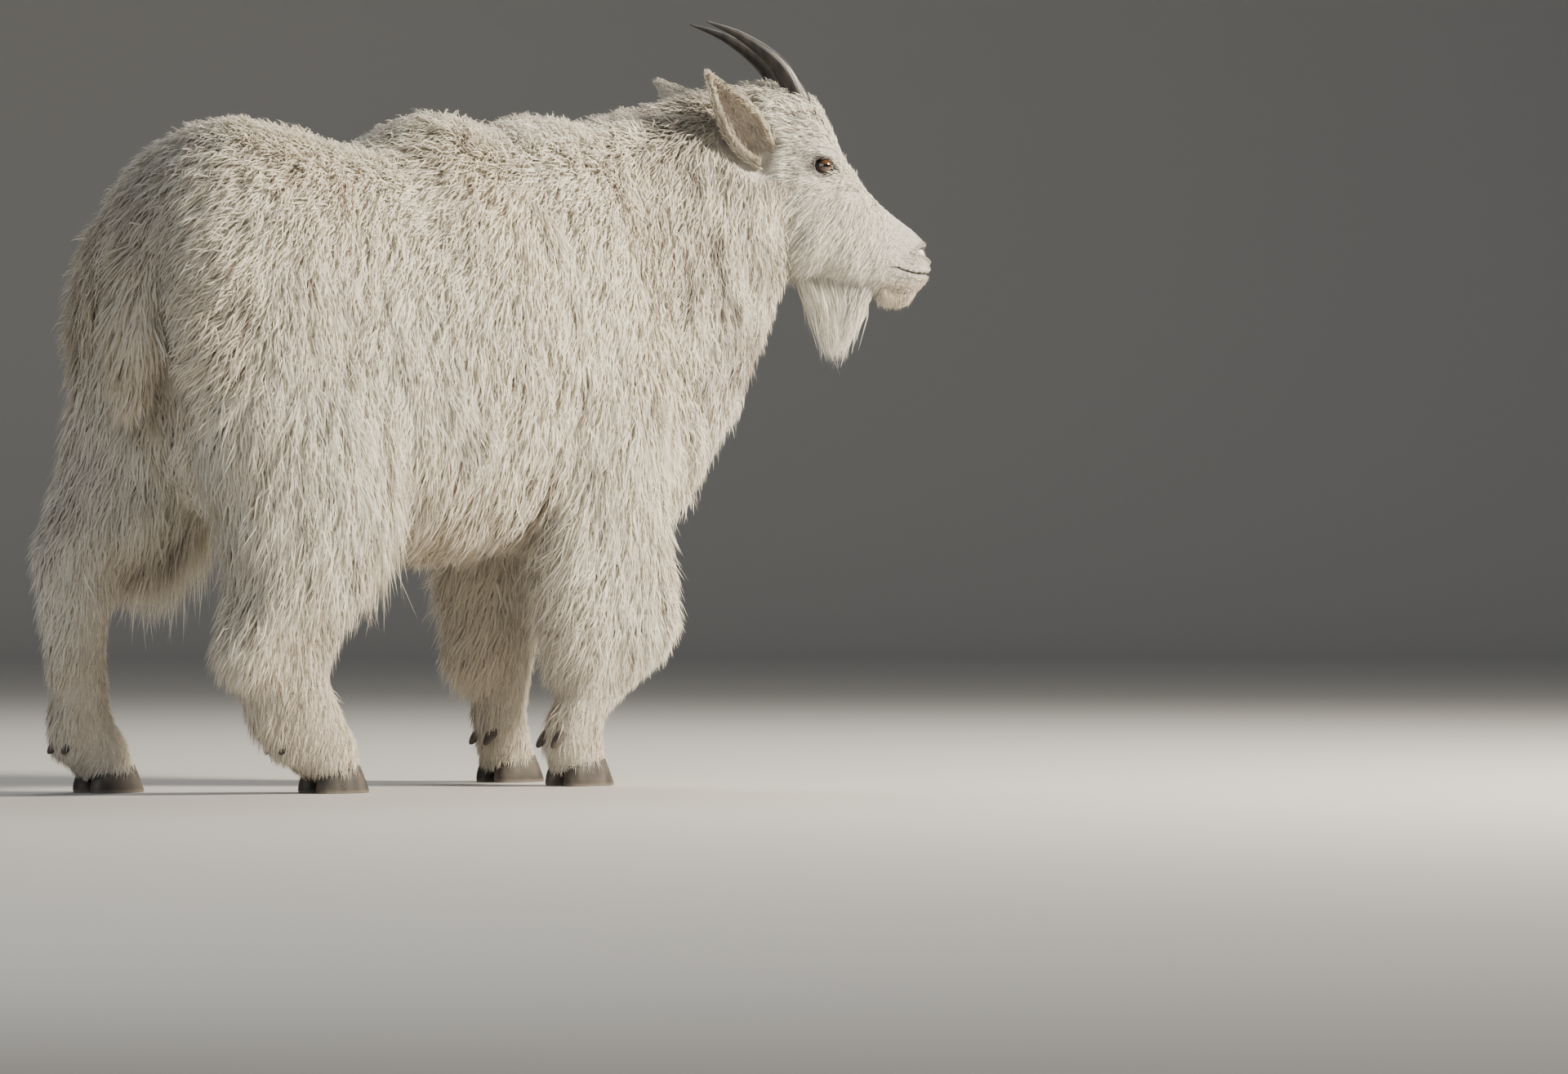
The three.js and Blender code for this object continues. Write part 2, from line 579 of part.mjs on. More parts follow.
for (const { rows } of [LEGS.fore_left, LEGS.fore_right]) {
  stretches.push([rows, LEG_FORM, { from: 1, to: 4.6, rings: 3, around: 3, way: down(-0.2),
    size: { long: 130, wide: 104, rise: 16 } }]);
  stretches.push([rows, LEG_FORM, { from: 3, to: 6.2, rings: 4, around: 1, angles: [2.8, 3.5], way: down(-0.7),
    size: { long: 84, wide: 36, rise: 26, thick: 9 } }]);
}
const locks = stretches.flatMap(([rows, form, stretch]) => coatOf(rows, form, stretch, skin));

// The beard hangs from the jaw to one point, and a short tuft hangs from the chin.
const BEARD = { from: 716, to: 834, count: 4, root: 782, half: 15, tip: [778, 660], wide: 40 };
const CHIN = { from: 844, to: 892, count: 2, root: 766, half: 12, tip: [864, 736], wide: 24 };
for (const { from, to, count, root, half, tip, wide } of [BEARD, CHIN]) {
  for (let k = 0; k < count; k++) {
    for (const side of [1, -1]) {
      const x = from + ((to - from) * (k + 0.5 + 0.25 * side)) / count;
      const place = new THREE.Vector3(x, half * side, root);
      const aim = new THREE.Vector3(0.85 * (tip[0] - x), -half * side * 0.7, tip[1] - root);
      const long = aim.length() * (0.88 + 0.12 * draw());
      const out = headWay(0, side, 0);
      locks.push([turnedPoint(place), out, headWay(...aim), { long, wide, rise: 4, thick: 9 }]);
    }
  }
}

let body = union([core, ...locks.map((parts) => solidLock(parts))]);

// The face: sockets, lids, nostrils, lips and mouth, then room for the horns, ears and eyes.
for (const side of Object.values(SIDES)) {
  body = body.subtract(egg(SOCKET, side)).add(lidSolid(side));
  body = body.add(egg(UPPER_LIP, side)).add(egg(LOWER_LIP, side));
  body = body.subtract(egg(NOSTRIL, side));
}
body = body.subtract(mouthCut({ ...HEAD_FORM, sides: 12, steps: 1 }));
for (const [name, side] of Object.entries(SIDES)) {
  addNode(`eye_${name}`, eyeSolid(side), EYE);
  addNode(`horn_${name}`, hornSolid(side), HORN);
  addNode(`ear_${name}`, earSolid(side), COAT);
  for (const cut of [eyeSolid(side, GAP), hornSolid(side, GAP), earSolid(side, GAP)]) body = body.subtract(cut);
}

// The tail, with a coat of its own, and room for it in the body.
const tailCore = loft(TAIL, { ...TAIL_FORM, ...CORE });
const tailSkin = new THREE.Mesh(tailCore, skin.material);
tailSkin.updateMatrixWorld();
const tailStretch = { from: 0.5, to: 3.9, rings: 3, around: 3, angles: [1.1, 5.18], way: down(-0.1),
  follow: false, size: { long: 96, wide: 48, rise: 10, thick: 8 } };
const tailLocks = coatOf(TAIL, TAIL_FORM, tailStretch, tailSkin);
const tailSolid = (grow) => union([
  solid(loft(TAIL, { ...TAIL_FORM, ...CORE, grow })),
  ...tailLocks.map((parts) => solidLock(parts, grow)),
]);
body = body.subtract(tailSolid(1.6 * GAP));
addNode("tail", tailSolid(0), COAT);
for (const [name, { heel }] of Object.entries(LEGS)) {
  for (const across of [1, -1]) body = body.subtract(dewclawSolid([heel, FEET[name][1]], across, GAP));
}

// The body's nodes, parted by planes at the shoulder line and behind the jaw.
const NECK_PLANE = { at: new THREE.Vector3(380, 0, 725), way: new THREE.Vector3(650, 0, 360) };
const HEAD_PLANE = { at: inHead(680, 0, 930), way: headWay(260, 0, 45) };
let rest = body;
for (const [name, { side, space, joint, heel }] of Object.entries(LEGS)) {
  const leg = body.intersect(legSpace(space, side, -GAP / 2));
  rest = rest.subtract(legSpace(space, side, GAP / 2));
  const [lower, upper] = parted(leg, new THREE.Vector3(0, 0, joint), new THREE.Vector3(0, 0, 1));
  addNode(`${name}_upper`, upper, COAT);
  addNode(`${name}_lower`, lower, COAT);
  for (const [which, across] of [["outer", side], ["inner", -side]]) {
    addNode(`${name}_claw_${which}`, clawSolid(FEET[name], across), HOOF);
    addNode(`${name}_dewclaw_${which}`, dewclawSolid([heel, FEET[name][1]], across), HOOF);
  }
}
const [torso, front] = parted(rest, NECK_PLANE.at, NECK_PLANE.way);
const [throat, face] = parted(front, HEAD_PLANE.at, HEAD_PLANE.way);
addNode("torso", torso, COAT);
addNode("neck", throat, COAT);
addNode("head", face, COAT);

// The origin goes to the middle of the footprint, on the floor.
const box = new THREE.Box3().setFromObject(goat);
const centre = box.getCenter(new THREE.Vector3());
for (const mesh of goat.children) mesh.geometry.translate(-centre.x, -centre.y, -box.min.z);

export default goat;
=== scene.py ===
# A mountain goat in mid step: one skin under a coat of mesh tufts, with eyes, horns and hooves of their own.
# Sizes are in millimetres until the meshes are made, in a straight goat whose neck and head are turned later.
import json
import math

import bpy
import numpy as np
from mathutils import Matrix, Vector
from mathutils.bvhtree import BVHTree
from mathutils.kdtree import KDTree

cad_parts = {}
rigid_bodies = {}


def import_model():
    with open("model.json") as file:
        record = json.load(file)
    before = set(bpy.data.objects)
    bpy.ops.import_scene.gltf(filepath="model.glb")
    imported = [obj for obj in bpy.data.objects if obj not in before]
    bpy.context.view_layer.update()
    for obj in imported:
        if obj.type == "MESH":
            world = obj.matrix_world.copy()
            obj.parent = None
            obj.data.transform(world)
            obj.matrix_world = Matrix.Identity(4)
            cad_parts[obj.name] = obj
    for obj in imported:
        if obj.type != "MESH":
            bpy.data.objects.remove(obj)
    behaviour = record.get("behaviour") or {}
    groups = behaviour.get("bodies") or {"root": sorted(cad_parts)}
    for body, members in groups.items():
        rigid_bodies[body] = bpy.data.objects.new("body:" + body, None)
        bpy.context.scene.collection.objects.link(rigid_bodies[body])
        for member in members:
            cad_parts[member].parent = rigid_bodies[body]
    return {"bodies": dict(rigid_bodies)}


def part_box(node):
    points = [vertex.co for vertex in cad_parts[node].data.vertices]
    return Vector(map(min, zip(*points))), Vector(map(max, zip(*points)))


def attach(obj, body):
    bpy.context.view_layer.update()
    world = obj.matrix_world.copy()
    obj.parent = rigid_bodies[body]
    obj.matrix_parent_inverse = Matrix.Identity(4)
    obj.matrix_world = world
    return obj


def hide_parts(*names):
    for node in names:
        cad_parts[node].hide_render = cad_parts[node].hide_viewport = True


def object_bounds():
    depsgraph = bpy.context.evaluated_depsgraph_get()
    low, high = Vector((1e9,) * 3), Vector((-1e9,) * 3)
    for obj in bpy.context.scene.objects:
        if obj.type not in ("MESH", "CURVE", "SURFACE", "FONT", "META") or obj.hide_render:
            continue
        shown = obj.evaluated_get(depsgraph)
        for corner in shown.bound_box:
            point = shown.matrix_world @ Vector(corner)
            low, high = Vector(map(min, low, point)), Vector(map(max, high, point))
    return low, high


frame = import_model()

BODY = next(iter(frame["bodies"]))
CAD_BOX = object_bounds()
rng = np.random.default_rng(11)

# Rows of outline sizes: [x and z of the upper or front edge, x and z of the lower or rear edge,
# half width, sideways shift, depth of the coat above the skin].
TRUNK = [
    [-532, 752, -532, 700, 60, 0, 16],
    [-522, 830, -518, 600, 144, 0, 18],
    [-490, 905, -480, 520, 186, 0, 20],
    [-440, 966, -420, 460, 206, 0, 22],
    [-370, 1004, -350, 425, 214, 0, 22],
    [-280, 1002, -270, 400, 216, 0, 22],
    [-190, 980, -180, 378, 216, 0, 22],
    [-90, 972, -90, 365, 217, 0, 22],
    [-10, 1006, 0, 358, 217, 0, 22],
    [45, 1022, 80, 360, 214, 0, 22],
    [140, 1006, 170, 372, 208, 0, 22],
    [215, 1020, 270, 385, 198, 0, 22],
    [300, 1008, 370, 395, 185, 0, 22],
    [360, 975, 450, 410, 165, 0, 22],
    [410, 930, 520, 430, 135, 0, 20],
    [440, 870, 560, 480, 105, 0, 16],
    [470, 800, 580, 540, 60, 0, 10],
]
NECK = [
    [120, 975, 400, 430, 150, 0, 14],
    [220, 1018, 520, 440, 156, 0, 20],
    [320, 1018, 590, 530, 150, 0, 20],
    [420, 1035, 640, 620, 136, 0, 20],
    [510, 1058, 675, 705, 110, 0, 18],
    [590, 1078, 700, 775, 92, 0, 16],
    [660, 1090, 725, 820, 80, 0, 12],
    [700, 1075, 740, 845, 64, 0, 8],
]
HEAD = [
    [640, 1050, 680, 850, 68, 0, 8],
    [665, 1078, 685, 812, 78, 0, 8],
    [700, 1080, 704, 797, 80, 0, 7],
    [735, 1064, 730, 786, 79, 0, 5],
    [762, 1026, 757, 782, 74, 0, 4],
    [782, 984, 782, 777, 68, 0, 3],
    [803, 952, 805, 772, 59, 0, 2],
    [830, 920, 830, 767, 51, 0, 2],
    [857, 895, 853, 757, 45, 0, 1],
    [884, 876, 876, 750, 41, 0, 1],
    [905, 861, 895, 751, 39, 0, 1],
    [920, 845, 910, 765, 35, 0, 1],
    [928, 822, 922, 780, 25, 0, 1],
    [930, 808, 928, 796, 10, 0, 1],
]
FORE_LEFT = [
    [380, 760, 130, 700, 85, 80, 16],
    [400, 620, 150, 590, 95, 92, 16],
    [385, 500, 165, 490, 88, 100, 15],
    [370, 400, 180, 385, 76, 105, 14],
    [358, 320, 195, 300, 66, 107, 12],
    [352, 255, 205, 240, 60, 108, 9],
    [335, 200, 215, 185, 54, 108, 6],
    [322, 150, 228, 135, 47, 108, 4],
    [318, 110, 235, 95, 42, 108, 3],
    [324, 75, 240, 62, 40, 108, 2],
    [338, 40, 243, 26, 40, 108, 2],
]
FORE_RIGHT = [
    [390, 760, 130, 700, 85, -80, 16],
    [420, 620, 150, 590, 95, -92, 16],
    [420, 500, 175, 480, 88, -100, 15],
    [425, 400, 195, 370, 76, -105, 14],
    [440, 310, 208, 285, 68, -107, 12],
    [445, 245, 222, 235, 62, -107, 9],
    [405, 195, 228, 190, 52, -107, 6],
    [345, 150, 218, 150, 45, -107, 4],
    [300, 115, 200, 110, 41, -107, 3],
    [288, 80, 190, 66, 40, -107, 2],
    [293, 40, 198, 26, 40, -107, 2],
]
HIND_RIGHT = [
    [-150, 800, -470, 760, 95, -85, 16],
    [-123, 640, -500, 640, 112, -100, 18],
    [-123, 520, -497, 520, 112, -115, 20],
    [-141, 410, -455, 400, 100, -122, 20],
    [-190, 320, -437, 300, 80, -125, 17],
    [-245, 240, -455, 225, 60, -125, 11],
    [-262, 175, -430, 160, 50, -124, 6],
    [-238, 120, -390, 95, 46, -123, 4],
    [-212, 80, -345, 55, 44, -122, 3],
    [-205, 40, -300, 26, 42, -121, 2],
]
HIND_LEFT = [
    [-150, 800, -520, 780, 100, 85, 16],
    [-170, 660, -545, 640, 116, 100, 18],
    [-230, 540, -555, 520, 112, 115, 20],
    [-290, 450, -580, 430, 100, 122, 18],
    [-370, 380, -600, 380, 78, 125, 14],
    [-440, 330, -600, 335, 55, 126, 9],
    [-478, 270, -590, 270, 45, 126, 6],
    [-487, 190, -578, 190, 42, 126, 4],
    [-480, 120, -580, 105, 44, 126, 3],
    [-452, 80, -565, 58, 44, 126, 2],
    [-435, 40, -530, 26, 42, 126, 2],
]
TAIL = [
    [-450, 800, -488, 838, 32, -8, 6],
    [-482, 765, -546, 800, 42, -18, 10],
    [-510, 712, -580, 732, 45, -30, 12],
    [-528, 658, -586, 664, 38, -38, 10],
    [-543, 612, -574, 608, 15, -42, 4],
]
LEGS = {"fore_left": FORE_LEFT, "fore_right": FORE_RIGHT, "hind_left": HIND_LEFT, "hind_right": HIND_RIGHT}
SIDES = {"left": 1, "right": -1}

# The part of each table, its squareness and bulge, and whether it turns with the neck.
FORMS = {
    "trunk": (TRUNK, 2.25, -0.04, False),
    "neck": (NECK, 2.1, 0.0, True),
    "head": (HEAD, 2.3, 0.06, True),
    "tail": (TAIL, 2.0, 0.0, False),
    **{name: (rows, 2.1, 0.0, False) for name, rows in LEGS.items()},
}

# The neck turns the head to the goat's right between these two places.
TURN_START, TURN_END = 290.0, 620.0
HEAD_TURN = math.radians(-27)
TURN_X = np.arange(TURN_START, 1100.0, 1.0)
_share = np.clip((TURN_X - TURN_START) / (TURN_END - TURN_START), 0, 1)
TURN_ANGLE = HEAD_TURN * _share * _share * (3 - 2 * _share)
TURN_PX = TURN_START + np.concatenate([[0], np.cumsum(np.cos(TURN_ANGLE))[:-1]])
TURN_PY = np.concatenate([[0], np.cumsum(np.sin(TURN_ANGLE))[:-1]])

EYE = np.array([742.0, 55.5, 958.0])
EYE_RADIUS = 16.5


def unit(v):
    return v / np.maximum(np.linalg.norm(v, axis=-1, keepdims=True), 1e-9)


def turn(points):
    """Points of the straight goat, with the neck and head turned sideways."""
    points = np.asarray(points, float)
    x, y = points[..., 0], points[..., 1]
    angle = np.where(x > TURN_START, np.interp(x, TURN_X, TURN_ANGLE), 0)
    px = np.where(x > TURN_START, np.interp(x, TURN_X, TURN_PX), x)
    py = np.where(x > TURN_START, np.interp(x, TURN_X, TURN_PY), 0)
    return np.stack([px - y * np.sin(angle), py + y * np.cos(angle), points[..., 2]], -1)


def turn_way(points, ways):
    """Directions at points of the straight goat, turned with them."""
    x = points[..., 0]
    angle = np.where(x > TURN_START, np.interp(x, TURN_X, TURN_ANGLE), 0)
    c, s = np.cos(angle), np.sin(angle)
    along, across, high = np.moveaxis(ways, -1, 0)
    return np.stack([along * c - across * s, along * s + across * c, high], -1)


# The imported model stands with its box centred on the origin: the right eye says how far that moved it.
_low, _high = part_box("eye_right")
SHIFT = (np.array(_low) + np.array(_high)) * 500 - turn(EYE * [1, -1, 1])
SHIFT[2] = 0


def row_at(rows, place):
    """Rows read at fractional places, along smooth curves."""
    rows = np.asarray(rows, float)
    i = np.clip(np.floor(place).astype(int), 0, len(rows) - 2)
    t = (place - i)[..., None]
    a, b, c, d = (rows[np.clip(i + k, 0, len(rows) - 1)] for k in (-1, 0, 1, 2))
    return 0.5 * (2 * b + (c - a) * t + (2 * a - 5 * b + 4 * c - d) * t**2 + (3 * b - a - 3 * c + d) * t**3)


def smooth_step(value, low, high):
    t = np.clip((value - low) / (high - low), 0, 1)
    return t * t * (3 - 2 * t)


def section(name, place, angle, core=1.0, extra=0.0):
    """Points of a form at places and angles. core takes that share of the coat's depth off."""
    rows, square, bulge, _ = FORMS[name]
    ux, uz, lx, lz, half, shift, depth = np.moveaxis(row_at(rows, place), -1, 0)
    inset = core * depth + extra
    shrink = np.maximum(1 - 2 * inset / np.hypot(ux - lx, uz - lz), 0.1)
    width = np.maximum(half - inset, 0.1 * half)
    c, s = np.cos(angle), np.sin(angle)
    up = np.sign(c) * np.abs(c) ** (2 / square)
    side = np.sign(s) * np.abs(s) ** (2 / square)
    along = 0.5 + shrink * (0.5 * up + bulge * side * side)
    return np.stack([lx + (ux - lx) * along, shift + width * side, lz + (uz - lz) * along], -1)


def outward(name, place, angle, core=1.0):
    """Outward normals of a form in the straight goat."""
    step = 0.03
    end = len(FORMS[name][0]) - 1
    ahead = section(name, np.minimum(place + step, end), angle, core) - section(
        name, np.maximum(place - step, 0), angle, core
    )
    round_ = section(name, place, angle + step, core) - section(name, place, angle - step, core)
    normal = unit(np.cross(round_, ahead))
    middle = section(name, place, angle, 0.0, 1e3)
    flip = np.sum(normal * (section(name, place, angle, core) - middle), -1) < 0
    normal[flip] *= -1
    return normal


# Smooth noise from a few waves, about -1 to 1.
_waves = rng.normal(size=(12, 3))
_phases = rng.uniform(0, 2 * np.pi, 12)


def noise(points, size, seed=0):
    waves = np.roll(_waves, seed, 0) * (2.2 / size)
    return np.sin(points @ waves.T + np.roll(_phases, 3 * seed)).sum(-1) / 4.2


# Meshes and materials.
def grid_faces(rings, sides, closed=True):
    r, k = np.meshgrid(np.arange(rings - 1), np.arange(sides if closed else sides - 1), indexing="ij")
    a = r * sides + k
    b = r * sides + (k + 1) % sides
    return np.stack([a, a + sides, b + sides, b], -1).reshape(-1, 4)


def new_mesh(name, points, faces, colours=None, smooth=True, uvs=None):
    """A mesh object from turned points in millimetres and faces that all have as many corners."""
    points = (points.reshape(-1, 3) + SHIFT) * 0.001
    mesh = bpy.data.meshes.new(name)
    corners = faces.shape[1]
    mesh.vertices.add(len(points))
    mesh.vertices.foreach_set("co", points.astype(np.float32).ravel())
    mesh.loops.add(faces.size)
    mesh.loops.foreach_set("vertex_index", faces.astype(np.int32).ravel())
    mesh.polygons.add(len(faces))
    mesh.polygons.foreach_set("loop_start", np.arange(0, faces.size, corners, dtype=np.int32))
    mesh.update(calc_edges=True)
    mesh.polygons.foreach_set("use_smooth", np.full(len(faces), smooth))
    if colours is not None:
        paint(mesh, colours)
    if uvs is not None:
        layer = mesh.uv_layers.new(name="OFBake")
        layer.data.foreach_set("uv", uvs[faces.ravel()].astype(np.float32).ravel())
    obj = bpy.data.objects.new(name, mesh)
    bpy.context.scene.collection.objects.link(obj)
    return obj


def paint(mesh, colours):
    layer = mesh.color_attributes.new("tint", "FLOAT_COLOR", "POINT")
    rgba = np.concatenate([colours.reshape(-1, 3), np.ones((colours.size // 3, 1))], 1)
    layer.data.foreach_set("color", rgba.astype(np.float32).ravel())


def material(name, rough, tint=True, colour=(0.8, 0.8, 0.8), coat=0.0, translucent=0.0, bump=None, sheen=0.0):
    made = bpy.data.materials.new(name)
    made.use_nodes = True
    nodes, links = made.node_tree.nodes, made.node_tree.links
    shader = nodes["Principled BSDF"]
    shader.inputs["Roughness"].default_value = rough
    shader.inputs["Coat Weight"].default_value = coat
    shader.inputs["Coat Roughness"].default_value = 0.03
    shader.inputs["Sheen Weight"].default_value = sheen
    shader.inputs["Base Color"].default_value = (*colour, 1)
    if tint:
        source = nodes.new("ShaderNodeAttribute")
        source.attribute_name = "tint"
        links.new(source.outputs["Color"], shader.inputs["Base Color"])
    if bump:
        scale, strength, distance = bump
        texture = nodes.new("ShaderNodeTexNoise")
        texture.inputs["Scale"].default_value = scale
        texture.inputs["Detail"].default_value = 4
        where = nodes.new("ShaderNodeTexCoord")
        links.new(where.outputs["Object"], texture.inputs["Vector"])
        raised = nodes.new("ShaderNodeBump")
        raised.inputs["Strength"].default_value = strength
        raised.inputs["Distance"].default_value = distance
        links.new(texture.outputs["Fac"], raised.inputs["Height"])
        links.new(raised.outputs["Normal"], shader.inputs["Normal"])
    if translucent:
        through = nodes.new("ShaderNodeBsdfTranslucent")
        mix = nodes.new("ShaderNodeMixShader")
        mix.inputs["Fac"].default_value = translucent
        if tint:
            links.new(source.outputs["Color"], through.inputs["Color"])
        links.new(shader.outputs["BSDF"], mix.inputs[1])
        links.new(through.outputs["BSDF"], mix.inputs[2])
        links.new(mix.outputs["Shader"], nodes["Material Output"].inputs["Surface"])
    return made


FUR_LOOK = material("fur", 0.72, translucent=0.34, sheen=0.15)
SKIN_LOOK = material("skin", 0.8, bump=(420, 0.35, 0.0012))
HORN_LOOK = material("horn", 0.44, bump=(160, 0.2, 0.0006))
HOOF_LOOK = material("hoof", 0.55, bump=(240, 0.4, 0.0008))
EYE_LOOK = material("eye", 0.12, coat=1.0)

# Colours, as light is reflected.
CREAM = np.array([0.80, 0.745, 0.635])
WARM = np.array([0.66, 0.56, 0.41])
WHITE = np.array([0.88, 0.855, 0.79])
# A dark brown, used for mottling in the coat and for painted shade.
DUSK = np.array([0.40, 0.35, 0.29])
NOSE = np.array([0.10, 0.082, 0.075])
# Painted shade for the hollow of each ear's cup.
EAR_CUP_SHADE = np.array([0.34, 0.28, 0.24])


def mix(a, b, share):
    return a + (b - a) * np.clip(share, 0, 1)[..., None]


def at_tail(points):
    """How near points of the rump lie to the tail, from 0 to 1."""
    x, y, z = np.moveaxis(points, -1, 0)
    middle = np.interp(z, [612, 800], [-42, -8])
    aside = np.abs(y - middle)
    beside = smooth_step(-x, 400, 470) * smooth_step(105 - aside, 0, 45)
    return beside * smooth_step(z, 540, 620) * smooth_step(830 - z, 0, 50)


def coat_colour(points, name):
    """The coat's and the skin's colours at points of the straight goat, with painted shade on the neck and in
    the crease round the tail.
    """
    z = points[..., 2]
    tone = noise(points, 240, 1)
    fine = noise(points, 60, 4)
    colour = mix(CREAM, WHITE, 0.45 + 0.35 * tone)
    low = np.clip((430 - z) / 330, 0, 1)
    colour = mix(colour, WARM, 0.30 * low + 0.10 * fine)
    if name != "head":
        blotch = noise(points, 90, 5) + 0.8 * noise(points, 26, 10) - 0.2
        colour = mix(colour, DUSK, 0.22 * np.clip(blotch, 0, 1))
    if name == "neck":
        # The neck's fur greys towards the head: partly darker fur, partly painted shade of the lifted fur.
        grey = smooth_step(points[..., 0], 330, 520) * (0.55 + 0.6 * noise(points, 55, 9))
        colour = mix(colour, DUSK, 0.62 * np.clip(grey, 0, 1))
    # Painted shade: the rump's coat and skin are darkened in the crease round the tail.
    if name == "trunk" or name.startswith("hind"):
        colour = mix(colour, DUSK, 0.55 * at_tail(points))
    if name in ("trunk", "tail"):
        colour = mix(colour, WARM, 0.35 * np.clip((-400 - points[..., 0]) / 120, 0, 1))
        colour = mix(colour, WARM, 0.3 * np.clip((470 - z) / 110, 0, 1))
    if name == "head":
        x = points[..., 0]
        colour = mix(colour, WHITE, 0.4)
        colour = mix(colour, DUSK, 0.35 * np.clip((x - 880) / 40, 0, 1) * np.clip((z - 800) / 30, 0, 1))
        colour = mix(colour, WARM, 0.55 * smooth_step(x, 835, 860) * smooth_step(794 - z, 0, 20))
        colour = mix(colour, NOSE, face_dark(points))
    return colour


def eye_plane(points):
    """How far along and across the eye's opening points lie, in half openings."""
    d = points - EYE * [1, 0, 1] - np.array([0, 0, -0.5])
    tilt = 0.22
    a = d[..., 0] * math.cos(tilt) - d[..., 2] * math.sin(tilt)
    b = d[..., 0] * math.sin(tilt) + d[..., 2] * math.cos(tilt)
    return a, b


NOSTRIL = np.array([919.0, 17.0, 828.0])


def nostril_plane(points):
    d = points - NOSTRIL * [1, 0, 1]
    tilt = 0.5
    a = d[..., 0] * math.cos(tilt) - d[..., 2] * math.sin(tilt)
    b = d[..., 0] * math.sin(tilt) + d[..., 2] * math.cos(tilt)
    return a, b + 0.03 * a * a


def face_dark(points):
    """Where the face's bare dark skin shows: rims of the eyes, nostrils and lips."""
    x, y, z = np.moveaxis(points, -1, 0)
    a, b = eye_plane(points)
    rim = np.exp(-(((np.hypot(a / 18, b / 13) - 1.0) / 0.26) ** 2)) * (np.abs(y) > 40)
    na, nb = nostril_plane(points)
    nose = np.exp(-((np.hypot((na - 3) / 17, nb / 10)) ** 4))
    pad = np.clip((x - 919) / 8, 0, 1) * np.clip((z - 803) / 10, 0, 1) * smooth_step(13 - np.abs(y), 0, 8)
    lips = np.exp(-(((z - mouth_z(x)) / 2.6) ** 2)) * (x > 864)
    return np.clip(rim + 1.1 * nose + 0.8 * pad + 0.85 * lips, 0, 1)


def mouth_z(x):
    return np.interp(x, [862, 881, 903, 925, 945], [806, 799, 793, 792, 790])


EAR_ROOT, EAR_TIP = np.array([655.0, 64, 966]), np.array([529.0, 114, 1098])
# The hollow round the lower part of each ear: its depth, its reach and the width of its edge.
EAR_DENT, EAR_REACH, EAR_EDGE = 15.0, 56, 30
EAR_PART = (0.14, 0.65)


def near_line(points, low, high):
    """How near points lie to the part of the line from low to high that stands for an ear, from 0 to 1."""
    span = high - low
    share = np.clip((points - low) @ span / span.dot(span), *EAR_PART)
    gap = np.linalg.norm(points - low - share[..., None] * span, axis=-1)
    return smooth_step(EAR_REACH - gap, 0, EAR_EDGE)


def at_ear(points):
    """How near points of the straight goat lie to the lower part of an ear, from 0 to 1."""
    folded = np.stack([points[..., 0], np.abs(points[..., 1]), points[..., 2]], -1)
    return near_line(folded, EAR_ROOT, EAR_TIP)


# The face, as swellings and hollows of the head's smooth form.
def bump_at(points, centre, size, height):
    d = (points - np.array(centre)) / np.array(size)
    return height * np.exp(-np.sum(d * d, -1))


def face_relief(points):
    """How far the face stands out of the smooth head, for points with y folded to one side."""
    x, y, z = np.moveaxis(points, -1, 0)
    a, b = eye_plane(points)
    at_eye = y > 35
    ring = np.hypot(a / 17.0, b / 12.0)
    relief = bump_at(points, (756, 68, 952), (30, 30, 26), -6.5)
    relief -= EAR_DENT * at_ear(points)
    relief += bump_at(points, (738, 66, 987), (26, 30, 11), 7.0)
    relief += bump_at(points, (716, 74, 952), (14, 30, 22), 3.0)
    relief += bump_at(points, (738, 76, 845), (34, 40, 38), 5.0)
    relief += bump_at(points, (800, 50, 870), (42, 40, 14), -3.5)
    relief += bump_at(points, (790, 58, 908), (38, 30, 9), 3.0)
    relief += bump_at(points, (860, 30, 850), (30, 30, 20), -2.0)
    relief += bump_at(points, (905, 30, 812), (20, 30, 12), 3.0)
    relief += bump_at(points, (888, 20, 775), (22, 30, 10), 2.5)
    relief += bump_at(points, (922, 34, 846), (26, 15, 17), -4.5)
    relief += bump_at(points, (926, 36, 800), (20, 14, 12), -3.0)
    relief += np.where(at_eye, 4.2 * np.exp(-(((ring - 1.16) / 0.15) ** 2)), 0)
    relief += np.where(at_eye, 1.6 * np.exp(-(((ring - 1.62) / 0.10) ** 2)) * (b > 0), 0)
    relief -= np.where(at_eye, 1.8 * np.exp(-(((ring - 1.42) / 0.08) ** 2)), 0)
    relief -= np.where(at_eye, 15.0 / (1 + np.exp((ring - 0.97) / 0.035)), 0)
    tear = np.hypot((a - 21) / 7.0, (b + 5) / 2.6)
    relief -= np.where(at_eye, 2.2 * np.exp(-(tear**2)), 0)
    na, nb = nostril_plane(points)
    hole = np.hypot(na / 12, nb / 7.5)
    relief -= np.where(y > 3, 9.0 / (1 + np.exp((hole - 0.9) / 0.07)), 0)
    relief += np.where(y > 3, 2.4 * np.exp(-(((hole - 1.35) / 0.22) ** 2)), 0)
    relief -= 2.2 * np.exp(-((y / 2.0) ** 2)) * np.clip((x - 905) / 12, 0, 1) * np.clip((z - 792) / 6, 0, 1)
    near = z - mouth_z(x)
    along = np.clip((x - 860) / 8, 0, 1)
    relief -= 5.0 * np.exp(-((near / 1.5) ** 2)) * along
    relief += 2.0 * np.exp(-(((near - 6) / 4.0) ** 2)) * along
    relief += 2.2 * np.exp(-(((near + 6) / 4.0) ** 2)) * along
    return relief


def head_point(place, angle):
    """Points of the finished head and of its smooth form, in the straight goat, and the form's normals."""
    smooth = section("head", place, angle)
    normal = outward("head", place, angle)
    folded = np.stack([smooth[..., 0], np.abs(smooth[..., 1]), smooth[..., 2]], -1)
    return smooth + normal * face_relief(folded)[..., None], smooth, normal


